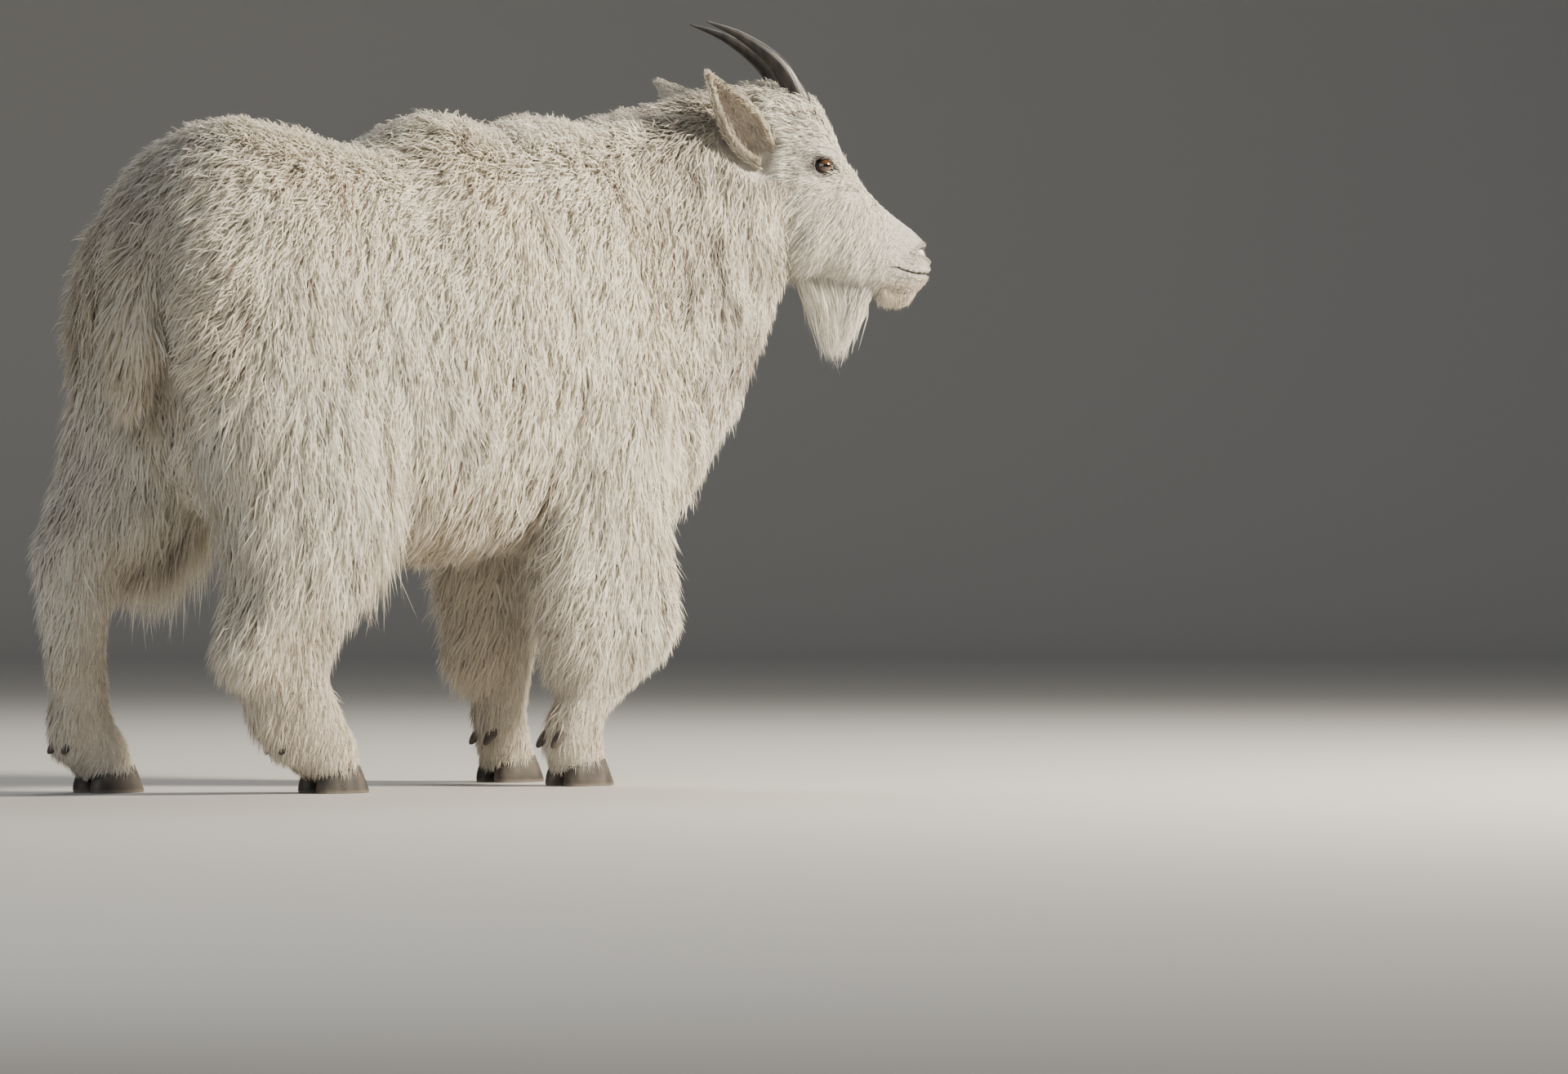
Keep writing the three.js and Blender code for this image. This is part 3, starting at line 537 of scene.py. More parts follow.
# The skin: every form joined into one closed surface, which lies deeper inside the head than elsewhere.
SKIN_INSET, HEAD_INSET = 1.5, 9.0
# The skin is painted darker than the coat, and the head's skin darker still: painted shade in the gaps
# between the tufts.
SKIN_SHADE, HEAD_SHADE = 0.72, 0.5


def closed_loft(name, sides, steps, extra):
    rows = FORMS[name][0]
    place = np.linspace(0, len(rows) - 1, (len(rows) - 1) * steps + 1)
    p, a = np.meshgrid(place, np.linspace(0, 2 * np.pi, sides, endpoint=False), indexing="ij")
    points = section(name, p, a, 1.0, extra)
    points = turn(points) if FORMS[name][3] else points
    first, last = (ring.mean(0) + (ring - ring.mean(0)) * 0.02 for ring in (points[0], points[-1]))
    return np.concatenate([first[None], points, last[None]])


def joined_skin():
    points, faces, count = [], [], 0
    for name in FORMS:
        loft = closed_loft(name, 48, 4, HEAD_INSET if name == "head" else SKIN_INSET)
        rings, sides, _ = loft.shape
        quads = grid_faces(rings, sides)
        caps = [np.arange(sides)[::-1], (rings - 1) * sides + np.arange(sides)]
        points.append(loft.reshape(-1, 3))
        faces += [tuple(f) for f in (quads + count)]
        faces += [tuple(c + count) for c in caps]
        count += rings * sides
    mesh = bpy.data.meshes.new("skin")
    places = (np.concatenate(points) + SHIFT) * 0.001
    mesh.from_pydata(places.tolist(), [], [tuple(map(int, f)) for f in faces])
    obj = bpy.data.objects.new("skin", mesh)
    bpy.context.scene.collection.objects.link(obj)
    remesh = obj.modifiers.new("join", "REMESH")
    remesh.mode = "VOXEL"
    remesh.voxel_size = 0.006
    smooth = obj.modifiers.new("soften", "SMOOTH")
    smooth.iterations = 5
    ready = bpy.data.meshes.new_from_object(obj.evaluated_get(bpy.context.evaluated_depsgraph_get()))
    obj.modifiers.clear()
    obj.data = ready
    ready.name = "skin"
    ready.polygons.foreach_set("use_smooth", np.ones(len(ready.polygons), bool))
    return obj


def vertex_values(mesh, field):
    values = np.empty(len(mesh.vertices) * 3, np.float32)
    mesh.vertices.foreach_get(field, values)
    return values.reshape(-1, 3).astype(float)


skin = joined_skin()
skin_points = vertex_values(skin.data, "co") * 1000 - SHIFT
for side in (1, -1):
    push = EAR_DENT * near_line(skin_points, turn(EAR_ROOT * [1, side, 1]), turn(EAR_TIP * [1, side, 1]))
    skin_points -= vertex_values(skin.data, "normal") * push[:, None]
skin.data.vertices.foreach_set("co", ((skin_points + SHIFT) * 0.001).astype(np.float32).ravel())
skin.data.update()
paint(skin.data, coat_colour(skin_points, "trunk") * SKIN_SHADE)
skin.data.materials.append(SKIN_LOOK)
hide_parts("torso", "neck", "tail", *(f"{leg}_{half}" for leg in LEGS for half in ("upper", "lower")))
skin_tree = BVHTree.FromObject(skin, bpy.context.evaluated_depsgraph_get())

HEAD_RINGS, HEAD_SIDES = 300, 260
_p, _a = np.meshgrid(
    np.linspace(0, len(HEAD) - 1, HEAD_RINGS),
    np.linspace(0, 2 * np.pi, HEAD_SIDES, endpoint=False),
    indexing="ij",
)
_points, _smooth, _ = head_point(_p, _a)
_points, _smooth = (
    np.concatenate([v, np.broadcast_to(v[-1].mean(0), (1, HEAD_SIDES, 3))]) for v in (_points, _smooth)
)
_tint = coat_colour(_smooth, "head") * HEAD_SHADE
head = new_mesh("head_skin", turn(_points), grid_faces(HEAD_RINGS + 1, HEAD_SIDES), _tint)
head.data.materials.append(SKIN_LOOK)
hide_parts("head")


# Eyes: a ball with its colours painted on, looking out of the opening.
IRIS_DEEP, IRIS_LIGHT = np.array([0.055, 0.024, 0.010]), np.array([0.15, 0.07, 0.025])
IRIS_EDGE, EYE_CORNER = np.array([0.016, 0.010, 0.007]), np.array([0.07, 0.045, 0.032])
PUPIL = np.array([0.004, 0.003, 0.003])


def eye(name, side):
    rings, sides = 72, 96
    polar, round_ = np.meshgrid(
        np.linspace(0, np.pi, rings), np.linspace(0, 2 * np.pi, sides, endpoint=False), indexing="ij"
    )
    bulge = 1 + 0.06 * np.exp(-((polar / 0.5) ** 4))
    local = np.stack(
        [np.sin(polar) * np.cos(round_), np.cos(polar) * bulge, np.sin(polar) * np.sin(round_)], -1
    )
    u, v = local[..., 0], local[..., 2]
    r = np.hypot(u, v)
    streak = 0.5 + 0.5 * np.sin(23 * round_ + 2 * np.sin(7 * round_)) * np.sin(11 * round_)
    iris = mix(IRIS_DEEP, IRIS_LIGHT, streak * np.clip(1.2 - r, 0, 1))
    ball = mix(iris, IRIS_EDGE, (r - 0.55) / 0.12)
    ball = mix(ball, EYE_CORNER, (r - 0.88) / 0.08)
    pupil = (np.abs(u) / 0.40) ** 3 + (np.abs(v) / 0.155) ** 3
    ball = mix(ball, PUPIL, (1.15 - pupil) / 0.3)
    ball = np.where((local[..., 1] > 0)[..., None], ball, [0.1, 0.06, 0.04])
    yaw, pitch = 0.20, 0.05
    out = np.array([math.sin(yaw), math.cos(yaw), math.sin(pitch)])
    out /= np.linalg.norm(out)
    across = np.cross(out, [0, 0, 1.0])
    across /= np.linalg.norm(across)
    high = np.cross(across, out)
    ball_points = local @ np.stack([across, out, high]) * (EYE_RADIUS + 0.2) + EYE
    ball_points[..., 1] *= side
    obj = new_mesh(name, turn(ball_points), grid_faces(rings, sides)[:, :: (1 if side < 0 else -1)], ball)
    obj.data.materials.append(EYE_LOOK)
    return obj


# Horns: tapering, bent back, with growth rings and a fluted grain.
HORN_LINE = np.array([
    [731, 25, 1028], [713, 29, 1058], [678, 35, 1115], [617, 39, 1159], [556, 42, 1182],
], float)
HORN_RADIUS, HORN_TIP, HORN_FLATNESS = 20, 0.9, 0.88


def curve_through(line, t):
    place = np.asarray(t) * (len(line) - 1)
    return row_at(line, place)


def horn(name, side):
    rings, sides = 260, 72
    even = np.linspace(0, 1, 400)
    raw = curve_through(HORN_LINE, even)
    run = np.concatenate([[0], np.cumsum(np.linalg.norm(np.diff(raw, axis=0), axis=1))])
    t = np.interp(np.linspace(0, run[-1], rings), run, even)
    share = np.linspace(0, 1, rings)
    middle = curve_through(HORN_LINE, t)
    along = unit(np.gradient(middle, axis=0))
    across = unit(np.cross([0.0, 1.0, 0.0], along))
    out = np.cross(along, across)
    angle = np.linspace(0, 2 * np.pi, sides, endpoint=False)
    ridge = 0.75 * np.abs(np.sin(np.pi * (14 * share**0.8))) ** 0.5 * np.clip(1 - share / 0.5, 0, 1)
    ridge += 0.5 * np.clip(1 - share / 0.12, 0, 1)
    radius = HORN_RADIUS * (1 - share**1.25) + HORN_TIP + ridge
    flutes = 23 * angle[None, :] + 40 * share[:, None]
    wobble = 1 + 0.012 * np.sin(9 * angle)[None, :] + 0.01 * np.sin(flutes)
    c, s = np.cos(angle)[None, :, None], HORN_FLATNESS * np.sin(angle)[None, :, None]
    around = across[:, None] * c + out[:, None] * s
    points = middle[:, None] + (radius[:, None] * wobble)[..., None] * around
    points = np.concatenate([points, np.broadcast_to(points[-1].mean(0), (1, sides, 3))])
    grain = noise(points * [1, 1, 0.4], 9, 2)[..., None]
    base = np.clip(1 - np.append(share, 1) / 0.2, 0, 1)[:, None, None]
    colour = np.array([0.016, 0.014, 0.013]) + 0.010 * grain * [1.2, 1, 0.8] + base * [0.03, 0.024, 0.018]
    points[..., 1] *= side
    quads = grid_faces(rings + 1, sides)[:, :: (1 if side < 0 else -1)]
    obj = new_mesh(name, turn(points), quads, np.clip(colour, 0.004, 1))
    obj.data.materials.append(HORN_LOOK)
    return obj


# Ears: a leaf with a hollow cup that faces outwards.
EAR_WIDTHS = [44, 58, 70, 76, 75, 68, 56, 40, 22, 3]


def ear_axes():
    along = unit(EAR_TIP - EAR_ROOT)
    out = np.array([0.35, 1.0, -0.05])
    out = unit(out - along * out.dot(along))
    return along, out, np.cross(along, out)


def ear_point(t, bend, inner):
    """Points of an ear on the goat's left, at shares of its length and of its arc from -1 to 1."""
    _, out, across = ear_axes()
    half = 0.5 * np.interp(t * (len(EAR_WIDTHS) - 1), np.arange(len(EAR_WIDTHS)), EAR_WIDTHS) * 0.97
    deep = half * (0.85 - 0.3 * t)
    thick = np.minimum(4.5 * (1 - 0.5 * t), 0.5 * half)
    half, deep = half - 0.6 * thick * inner, deep - thick * inner
    angle = 0.5 * np.pi * bend
    middle = EAR_ROOT + (EAR_TIP - EAR_ROOT) * t[..., None] + 3 * np.sin(np.pi * t)[..., None] * out
    return middle + across * (half * np.sin(angle))[..., None] - out * (deep * np.cos(angle))[..., None]


def ear(name, side):
    rings, arc = 60, 28
    t, bend = np.meshgrid(np.linspace(0, 1, rings), np.linspace(-1, 1, arc), indexing="ij")
    outer, cup = ear_point(t, bend, 0.0), ear_point(t, bend, 1.0)[:, ::-1]
    points = np.concatenate([outer, cup], 1)
    # Painted shade: the cup is darkened, most down its middle, where the hollow lies in shade.
    inside = 1.2 * np.cos(0.5 * np.pi * bend)
    cup_colour = mix(coat_colour(cup, "neck") * 0.6, EAR_CUP_SHADE, inside)
    colour = np.concatenate([coat_colour(outer, "neck") * 0.9, cup_colour], 1)
    points[..., 1] *= side
    quads = grid_faces(rings, 2 * arc)[:, :: (1 if side > 0 else -1)]
    obj = new_mesh(name, turn(points), quads, colour)
    obj.data.materials.append(SKIN_LOOK)
    return obj


# Hooves: two claws a foot and two dewclaws behind each pastern.
FEET = {"fore_left": (295, 108, 240), "fore_right": (250, -107, 191), "hind_left": (-478, 126, -565),
        "hind_right": (-248, -121, -352)}


def claw(name, x, y, side):
    at = y + side * 21
    rows = np.array([
        [x + 33, 41.5, x - 38, 30.5, 14.0, at, 0],
        [x + 34, 37.5, x - 38, 27.0, 15.5, at, 0],
        [x + 40, 26, x - 42, 20, 16.6, at, 0],
        [x + 47, 11, x - 45, 9, 17.2, at, 0],
        [x + 50, 3, x - 45, 2.5, 16.8, at, 0],
        [x + 47.5, 0, x - 43, 0, 15.5, at, 0],
        [x + 30, 0.0, x - 30, 0.0, 6.0, at, 0],
    ], float)
    sides, steps = 48, 6
    place = np.linspace(0, len(rows) - 1, (len(rows) - 1) * steps + 1)
    row = row_at(rows, place)[:, None]
    angle = np.linspace(0, 2 * np.pi, sides, endpoint=False)[None]
    square = 2.6
    up = np.sign(np.cos(angle)) * np.abs(np.cos(angle)) ** (2 / square)
    across = np.sign(np.sin(angle)) * np.abs(np.sin(angle)) ** (2 / square)
    along = 0.5 + 0.5 * up
    narrow = 1 - 0.22 * np.clip(up, 0, 1) ** 2
    points = np.stack([
        row[..., 2] + (row[..., 0] - row[..., 2]) * along,
        row[..., 5] + row[..., 4] * across * narrow,
        np.maximum(row[..., 3] + (row[..., 1] - row[..., 3]) * along, 0.05),
    ], -1)
    rings = 0.35 * np.sin(points[..., 2] * 1.5) * (points[..., 2] > 5)
    points[..., 0] += rings * up
    wear = noise(points, 14, 5)
    colour = mix(np.array([0.035, 0.030, 0.026]), np.array([0.15, 0.12, 0.09]), 0.25 + 0.4 * wear)
    colour = mix(colour, np.array([0.22, 0.19, 0.15]), np.clip((6 - points[..., 2]) / 8, 0, 0.6))
    obj = new_mesh(name, points, grid_faces(len(place), sides), np.broadcast_to(colour, points.shape))
    obj.data.materials.append(HOOF_LOOK)
    return obj


def dewclaw(name, x, y):
    way = unit(np.array([-0.7, 0, -0.71]))
    across, high = np.array([0, 1.0, 0]), np.cross(way, [0, 1.0, 0])
    t = np.linspace(0, 1, 16)[:, None]
    angle = np.linspace(0, 2 * np.pi, 24, endpoint=False)[None]
    radius = 9.2 * np.sqrt(np.clip(1 - (t * 0.98) ** 2.2, 0, 1))
    offset = across * (radius * np.cos(angle))[..., None] + high * (0.8 * radius * np.sin(angle))[..., None]
    points = np.array([x, y, 70.0]) + way * (30 * (t - 0.5))[..., None] + offset
    wear = 0.3 + 0.4 * noise(points, 10, 1)
    colour = mix(np.array([0.05, 0.04, 0.035]), np.array([0.16, 0.13, 0.1]), wear)
    obj = new_mesh(name, points, grid_faces(16, 24), colour)
    obj.data.materials.append(HOOF_LOOK)
    return obj


parts = [skin, head]
for which, side in SIDES.items():
    for made, node, slot in (
        (eye(f"eye_ball_{which}", side), f"eye_{which}", "eye"),
        (horn(f"horn_sheath_{which}", side), f"horn_{which}", "horn"),
        (ear(f"ear_leaf_{which}", side), f"ear_{which}", "coat"),
    ):
        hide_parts(node)
        parts.append(made)
for leg, (x, y, heel) in FEET.items():
    outer = 1 if y > 0 else -1
    for which, side in (("outer", outer), ("inner", -outer)):
        hoof = claw(f"hoof_{leg}_{which}", x, y, side)
        spur = dewclaw(f"spur_{leg}_{which}", heel, y + side * 17)
        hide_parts(f"{leg}_claw_{which}")
        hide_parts(f"{leg}_dewclaw_{which}")
        for made in (hoof, spur):
            parts.append(made)


# The coat. Each form's tufts are rooted evenly over it, and a law of its own says how they lie.
def even_roots(name, count, places, weight=None):
    """Places and angles spread evenly over a form's surface, more where weight is more."""
    p, a = np.meshgrid(
        np.linspace(*places, 241), np.linspace(0, 2 * np.pi, 181), indexing="ij"
    )
    grid = section(name, p, a)
    area = np.linalg.norm(
        np.cross(grid[1:, :-1] - grid[:-1, :-1], grid[:-1, 1:] - grid[:-1, :-1]), axis=-1
    )
    if weight is not None:
        area = area * weight(grid[:-1, :-1], p[:-1, :-1], a[:-1, :-1])
    cell = rng.choice(area.size, count, p=(area / area.sum()).ravel())
    i, j = np.unravel_index(cell, area.shape)
    return (p[i, j] + rng.uniform(0, 1, count) * (p[1, 0] - p[0, 0]),
            (a[i, j] + rng.uniform(0, 1, count) * (a[0, 1] - a[0, 0])) % (2 * np.pi))


def vec(x, y, z, shape):
    return np.stack([np.broadcast_to(np.asarray(v, float), shape) for v in (x, y, z)], -1)


def trunk_law(points, normal, depth, place, angle):
    x, y, _ = np.moveaxis(points, -1, 0)
    top = np.clip(normal[..., 2], 0, 1)
    belly = smooth_step(-normal[..., 2], 0.2, 0.9)
    rump = smooth_step(-x, 330, 500)
    hump = smooth_step(x, -60, 20) * (1 - smooth_step(x, 300, 420)) * smooth_step(top, 0.55, 0.9)
    way = vec(-0.35 - 0.9 * top - 0.7 * rump, 0.12 * np.sign(y) * rump, -1 + 1.0 * top + 0.35 * rump, x.shape)
    way = mix(way, vec(-1, 0, 0.5, x.shape), hump)
    way = mix(way, vec(-0.4, 0, -1.0, x.shape), belly)
    broad, fine = noise(points, 130, 2)[..., None], noise(points, 42, 6)[..., None]
    way += 0.30 * broad * [1, 0, 0] + 0.34 * fine * [1, 0.3, 0]
    back = smooth_step(top, 0.5, 0.9) * (1 - hump)
    long = 50 + 16 * rump + 26 * hump + 24 * belly + 16 * back + 5 * noise(points, 90, 7)
    lift = 0.46 + 0.24 * rump + 0.62 * hump + 0.15 * belly + 0.46 * back + 0.22 * noise(points, 34, 3)
    return way, long * (1 - 0.78 * at_tail(points)), lift * (1 - 0.5 * at_tail(points)), 0.0 * x


def neck_law(points, normal, depth, place, angle):
    x = points[..., 0]
    top = smooth_step(normal[..., 2], 0.35, 0.85)
    throat = smooth_step(-normal[..., 2], 0.1, 0.8)
    way = vec(-0.42, 0, -1, x.shape)
    way = mix(way, vec(-1, 0, 0.35, x.shape), top)
    way = mix(way, vec(-0.15, 0, -1, x.shape), throat)
    broad, fine = noise(points, 120, 2)[..., None], noise(points, 38, 6)[..., None]
    way += 0.30 * broad * [1, 0, 0] + 0.34 * fine * [1, 0.3, 0]
    near_head = smooth_step(x, 560, 680)
    long = 50 - 22 * near_head + 20 * top + 8 * throat + 5 * noise(points, 80, 7)
    lift = 0.46 + 0.5 * top + 0.20 * noise(points, 34, 3)
    return way, long, lift, 0.0 * x


BEARD_TIP = np.array([777.0, 0, 655.0])
CHIN_TIP = np.array([872.0, 0, 738.0])


def head_law(points, normal, depth, place, angle):
    x, y, z = np.moveaxis(points, -1, 0)
    under = smooth_step(-normal[..., 2], 0.45, 0.8)
    cheek = smooth_step(780 - x, 0, 80) * smooth_step(930 - z, 0, 90)
    crown = smooth_step(normal[..., 2], 0.1, 0.6) * smooth_step(780 - x, 0, 60)
    way = vec(-0.95, 0, 0.25, x.shape)
    way = mix(way, vec(-0.75, 0, -0.8, x.shape), smooth_step(960 - z, 0, 90) * smooth_step(900 - x, 0, 60))
    way = mix(way, vec(-0.7, 0.5 * np.sign(y), 0.6, x.shape), crown)
    way += 0.22 * noise(points, 40, 6)[..., None] * [0.6, 0.3, 1]
    long = 7.0 + 13 * smooth_step(890 - x, 0, 90) + 16 * cheek + 16 * crown + 1.5 * noise(points, 15, 2)
    long += 14 * smooth_step(710 - x, 0, 40)
    lift = 0.34 + 0.12 * cheek + 0.50 * crown + 0.12 * noise(points, 22, 5)
    beard = under * smooth_step(x, 700, 722) * (1 - smooth_step(x, 826, 846)) * (np.abs(y) < 27)
    chin = under * smooth_step(x, 842, 852) * (1 - smooth_step(x, 900, 914))
    direct = np.maximum(beard, chin)
    stray = rng.normal(size=x.shape + (3,)) * [11, 9, 5]
    hang = vec(BEARD_TIP[0] - x, -0.8 * y, BEARD_TIP[2] - z, x.shape) + stray
    hang *= rng.uniform(0.4, 1.03, x.shape)[..., None]
    tuft = vec(0.35 * (CHIN_TIP[0] - x), 0.1 * y, CHIN_TIP[2] - z, x.shape) + 0.4 * stray
    tuft *= rng.uniform(0.35, 1.15, x.shape)[..., None]
    aim = np.where((beard >= chin)[..., None], hang, tuft)
    long = long + (np.linalg.norm(aim, axis=-1) - long) * direct * 0.97
    way = np.where((direct > 0.3)[..., None], unit(aim), way)
    return way, long, lift, np.where(direct > 0.3, 1.0, 0.0)


def leg_law(points, normal, depth, place, angle, fore):
    x, y, z = np.moveaxis(points, -1, 0)
    front = smooth_step(np.cos(angle), 0.2, 0.85)
    rear = smooth_step(-np.cos(angle), 0.2, 0.85)
    way = vec(-0.22, 0, -1, x.shape)
    broad, fine = noise(points, 70, 2)[..., None], noise(points, 30, 6)[..., None]
    way += 0.22 * broad * [1, 0.4, 0] + 0.28 * fine * [1, 0.4, 0]
    long = 2.7 * depth + 11 + 0.6 * depth * noise(points, 50, 7)
    long = long + 14 * rear * smooth_step(z, 55, 75) * (1 - smooth_step(z, 120, 150))
    lift = 0.24 + 0.014 * depth + 0.14 * noise(points, 30, 3)
    loose = 0.0 * x
    if fore:
        fringe = rear * smooth_step(z, 150, 230) * (1 - smooth_step(z, 400, 520))
        way = mix(way, vec(-0.75, 0, -1, x.shape), fringe)
        long = long + 62 * fringe
        lift = lift + 0.50 * fringe
    else:
        chap = front * smooth_step(z, 300, 390) * (1 - smooth_step(z, 500, 640))
        chap = chap * smooth_step(0.85 - np.abs(normal[..., 1]), 0, 0.4)
        way = mix(way, vec(0.10, 0, -1, x.shape), chap)
        left = y > 0
        long = long + np.where(left, 100, 58) * chap * rng.uniform(0.35, 1.15, x.shape)
        loose = np.where(left, 0.7, 0.42) * chap
        hock = rear * smooth_step(z, 170, 210) * (1 - smooth_step(z, 300, 400))
        way = mix(way, vec(-0.5, 0, -1, x.shape), hock)
        long = long + 18 * hock
        lift = lift + 0.12 * chap + 0.3 * hock
        long = long * (1 - 0.75 * at_tail(points))
    return way, long, lift, loose


def tail_law(points, normal, depth, place, angle):
    x = points[..., 0]
    way = vec(-0.25, 0, -1, x.shape) + 0.2 * noise(points, 40, 2)[..., None] * [1, 1, 0]
    return way, 64 + 12 * noise(points, 30, 7), np.full(x.shape, 0.34), 0.0 * x


# Stations along a tuft, each with its width and its brightness, which is lower at the root, partly for the
# darker undercoat and partly as painted shade deep in the coat: long tufts bend twice and short ones once.
LONG_TUFT = np.array([[0.0, 0.8, 0.84], [0.38, 1.0, 0.96], [0.74, 0.72, 1.02], [1.0, 0.0, 1.05]])
SHORT_TUFT = np.array([[0.0, 0.9, 0.80], [0.5, 0.85, 0.97], [1.0, 0.0, 1.06]])


def tuft_points(stations, root, normal, way, long, lift, direct, width, clump, curl):
    """Bent flat blades, two points across at each station and one at the tip."""
    count = len(root)
    along, widths, _ = stations.T
    lie = unit(way - normal * np.sum(way * normal, -1, keepdims=True))
    start = unit(np.cos(lift)[:, None] * lie + np.sin(lift)[:, None] * normal)
    start = unit(start + (unit(way) - start) * direct[:, None])
    start = unit(start + rng.normal(size=(count, 3)) * (0.19 - 0.15 * direct[:, None]))
    down = np.array([0, 0, -1.0])
    hug = (0.45 * np.sin(lift) * (1 - direct))[:, None] * normal
    t = along[None, :, None]
    path = root[:, None] + long[:, None, None] * (
        t * start[:, None] + t**2 * (0.16 * down * (1 - direct[:, None]) - hug)[:, None]
    )
    side = unit(np.cross(start, normal) + 1e-6)
    wave = np.sin(rng.uniform(0, 6.3, count)[:, None] + along[None] * 5.2)
    wave = wave - wave[:, :1]
    path = path + side[:, None] * (wave * curl[:, None] * long[:, None])[..., None]
    centres = rng.choice(count, max(count // 26, 1), replace=False)
    tree = KDTree(len(centres))
    for i, c in enumerate(centres):
        tree.insert(root[c], i)
    tree.balance()
    nearest = np.array([tree.find(r)[1] for r in root])
    lead = centres[nearest]
    pull = path[lead, -1] - path[:, -1]
    pull *= np.minimum(1, 0.55 * long / np.maximum(np.linalg.norm(pull, axis=-1), 1e-6))[:, None]
    path = path + (clump[:, None] * along[None] ** 1.4)[..., None] * pull[:, None]
    roll = rng.normal(0, 0.45, count)[:, None]
    across = unit(side * np.cos(roll) + np.cross(start, side) * np.sin(roll))
    half = (0.5 * width)[:, None, None] * widths[None, :-1, None]
    left, right = path[:, :-1] - across[:, None] * half, path[:, :-1] + across[:, None] * half
    blade = np.stack([left, right], 2).reshape(count, -1, 3)
    return np.concatenate([blade, path[:, -1:]], 1)


PATCH = 0.003
MOST_TRIANGLES = 190000
HAIR_ROOM = 12.0


def kept_in_box(points, root):
    """Tufts, each shortened where it would pass the solids' box by more than the room for loose hair."""
    low, high = np.array(CAD_BOX) * 1000 - SHIFT
    reach = points - root[:, None]
    room = np.where(reach > 0, high - root[:, None], root[:, None] - low) + HAIR_ROOM
    share = np.min(room / np.maximum(np.abs(reach), 1e-6), axis=(1, 2))
    return root[:, None] + reach * np.clip(share, 0.2, 1)[:, None, None]


def add_coat(name, stations, root, normal, way, long, lift, direct, width, clump, curl, tint, unwrap,
             vary=0.07):
    """Coat pieces from tufts, each tuft with its patch of the map at its root's place on the unwrap."""
    points = tuft_points(stations, root, normal, way, long, lift, direct, width, clump, curl)
    points = kept_in_box(points, root)
    count, corners = points.shape[:2]
    pairs = np.arange(0, corners - 3, 2)
    tuft = np.array([(s, s + 1, s + 3) for s in pairs] + [(s, s + 3, s + 2) for s in pairs]
                    + [(corners - 3, corners - 2, corners - 1)])
    shade = np.append(np.repeat(stations[:-1, 2], 2), stations[-1, 2])
    tone = 1 + vary * rng.normal(size=(count, 1, 1))
    colours = np.clip(tint[:, None] * shade[None, :, None] * tone, 0, 0.97)
    patch = np.stack([
        np.append(np.tile([-0.5, 0.5], len(stations) - 1), 0),
        np.append(np.repeat(stations[:-1, 0], 2), 1),
    ], -1) * PATCH
    uvs = unwrap[:, None] * 0.985 + 0.006 + patch[None]
    pieces = math.ceil(count * len(tuft) / MOST_TRIANGLES)
    order = np.argsort(unwrap[:, 0])
    for i, chosen in enumerate(np.array_split(order, pieces)):
        faces = (np.arange(len(chosen))[:, None, None] * corners + tuft[None]).reshape(-1, 3)
        label = f"coat_{name}_{i + 1}" if pieces > 1 else f"coat_{name}"
        obj = new_mesh(label, points[chosen], faces, colours[chosen], uvs=uvs[chosen].reshape(-1, 2))
        obj.data.materials.append(FUR_LOOK)
        parts.append(obj)


def near_skin(points, reach):
    """Which turned points lie near the joined skin, with their places on it and its normals there."""
    keep, placed, facing = [], [], []
    for p, most in zip((points + SHIFT) * 0.001, reach * 0.001):
        where, normal, _, distance = skin_tree.find_nearest(Vector(p))
        keep.append(distance < most)
        placed.append(where)
        facing.append(normal)
    return np.array(keep), np.array(placed) * 1000 - SHIFT, np.array(facing)


def grow(name, law, stations, count, width, places, clump=0.5, curl=0.05, weight=None, reach=7.0):
    place, angle = even_roots(name, count, places, weight)
    turns = FORMS[name][3]
    depth = row_at(FORMS[name][0], place)[..., 6]
    if name == "head":
        root, straight, normal = head_point(place, angle)
        a, b = eye_plane(straight)
        at_eye = (np.hypot(a / 19.0, b / 14.0) < 1) & (np.abs(straight[:, 1]) > 38)
        na, nb = nostril_plane(straight)
        at_nose = np.hypot((na - 5) / 19, nb / 10) < 1
        at_lips = (np.abs(straight[:, 2] - mouth_z(straight[:, 0])) < 2.6) & (straight[:, 0] > 864)
        keep = ~(at_eye | at_nose | at_lips) & (place < 12.7)
        place, angle, depth, straight, normal, root = (
            v[keep] for v in (place, angle, depth, straight, normal, root)
        )
        root = turn(root)
    else:
        straight, normal = section(name, place, angle), outward(name, place, angle)
        room = reach + 0.0 * place
        if turns:
            room += EAR_DENT * (at_ear(straight) + 1.6 * smooth_step(straight[:, 0], 560, 640))
        keep, root, facing = near_skin(turn(straight) if turns else straight, room)
        place, angle, depth, straight, normal, root = (
            v[keep] for v in (place, angle, depth, straight, normal, root)
        )
    way, long, lift, direct = law(straight, normal, depth, place, angle)
    if turns:
        ear_near = at_ear(straight)
        long, lift = long * (1 - 0.6 * ear_near), lift * (1 - 0.3 * ear_near)
        way, normal = turn_way(straight, way), turn_way(straight, normal)
        if name == "neck":
            normal = unit(mix(normal, facing[keep], ear_near))
    n = len(root)
    long = np.maximum(long, 3.5) * rng.uniform(0.62, 1.22, n)
    wide = width * (0.75 + 0.5 * rng.uniform(size=n)) * np.clip(long / 40, 0.55, 1.25)
    tint = coat_colour(straight, name)
    rows = len(FORMS[name][0]) - 1
    unwrap = np.stack([place / rows, angle / (2 * np.pi)], -1)
    strength = clump * np.clip(0.8 + 0.4 * noise(straight, 60, 8), 0.2, 1)
    add_coat(name, stations, root - normal * 1.2, normal, way, long, lift, direct, wide, strength,
             np.full(n, curl), tint, np.clip(unwrap, 0, 1), 0.2 if name == "head" else 0.07)


def fore_law(*fields):
    return leg_law(*fields, fore=True)


def hind_law(*fields):
    return leg_law(*fields, fore=False)


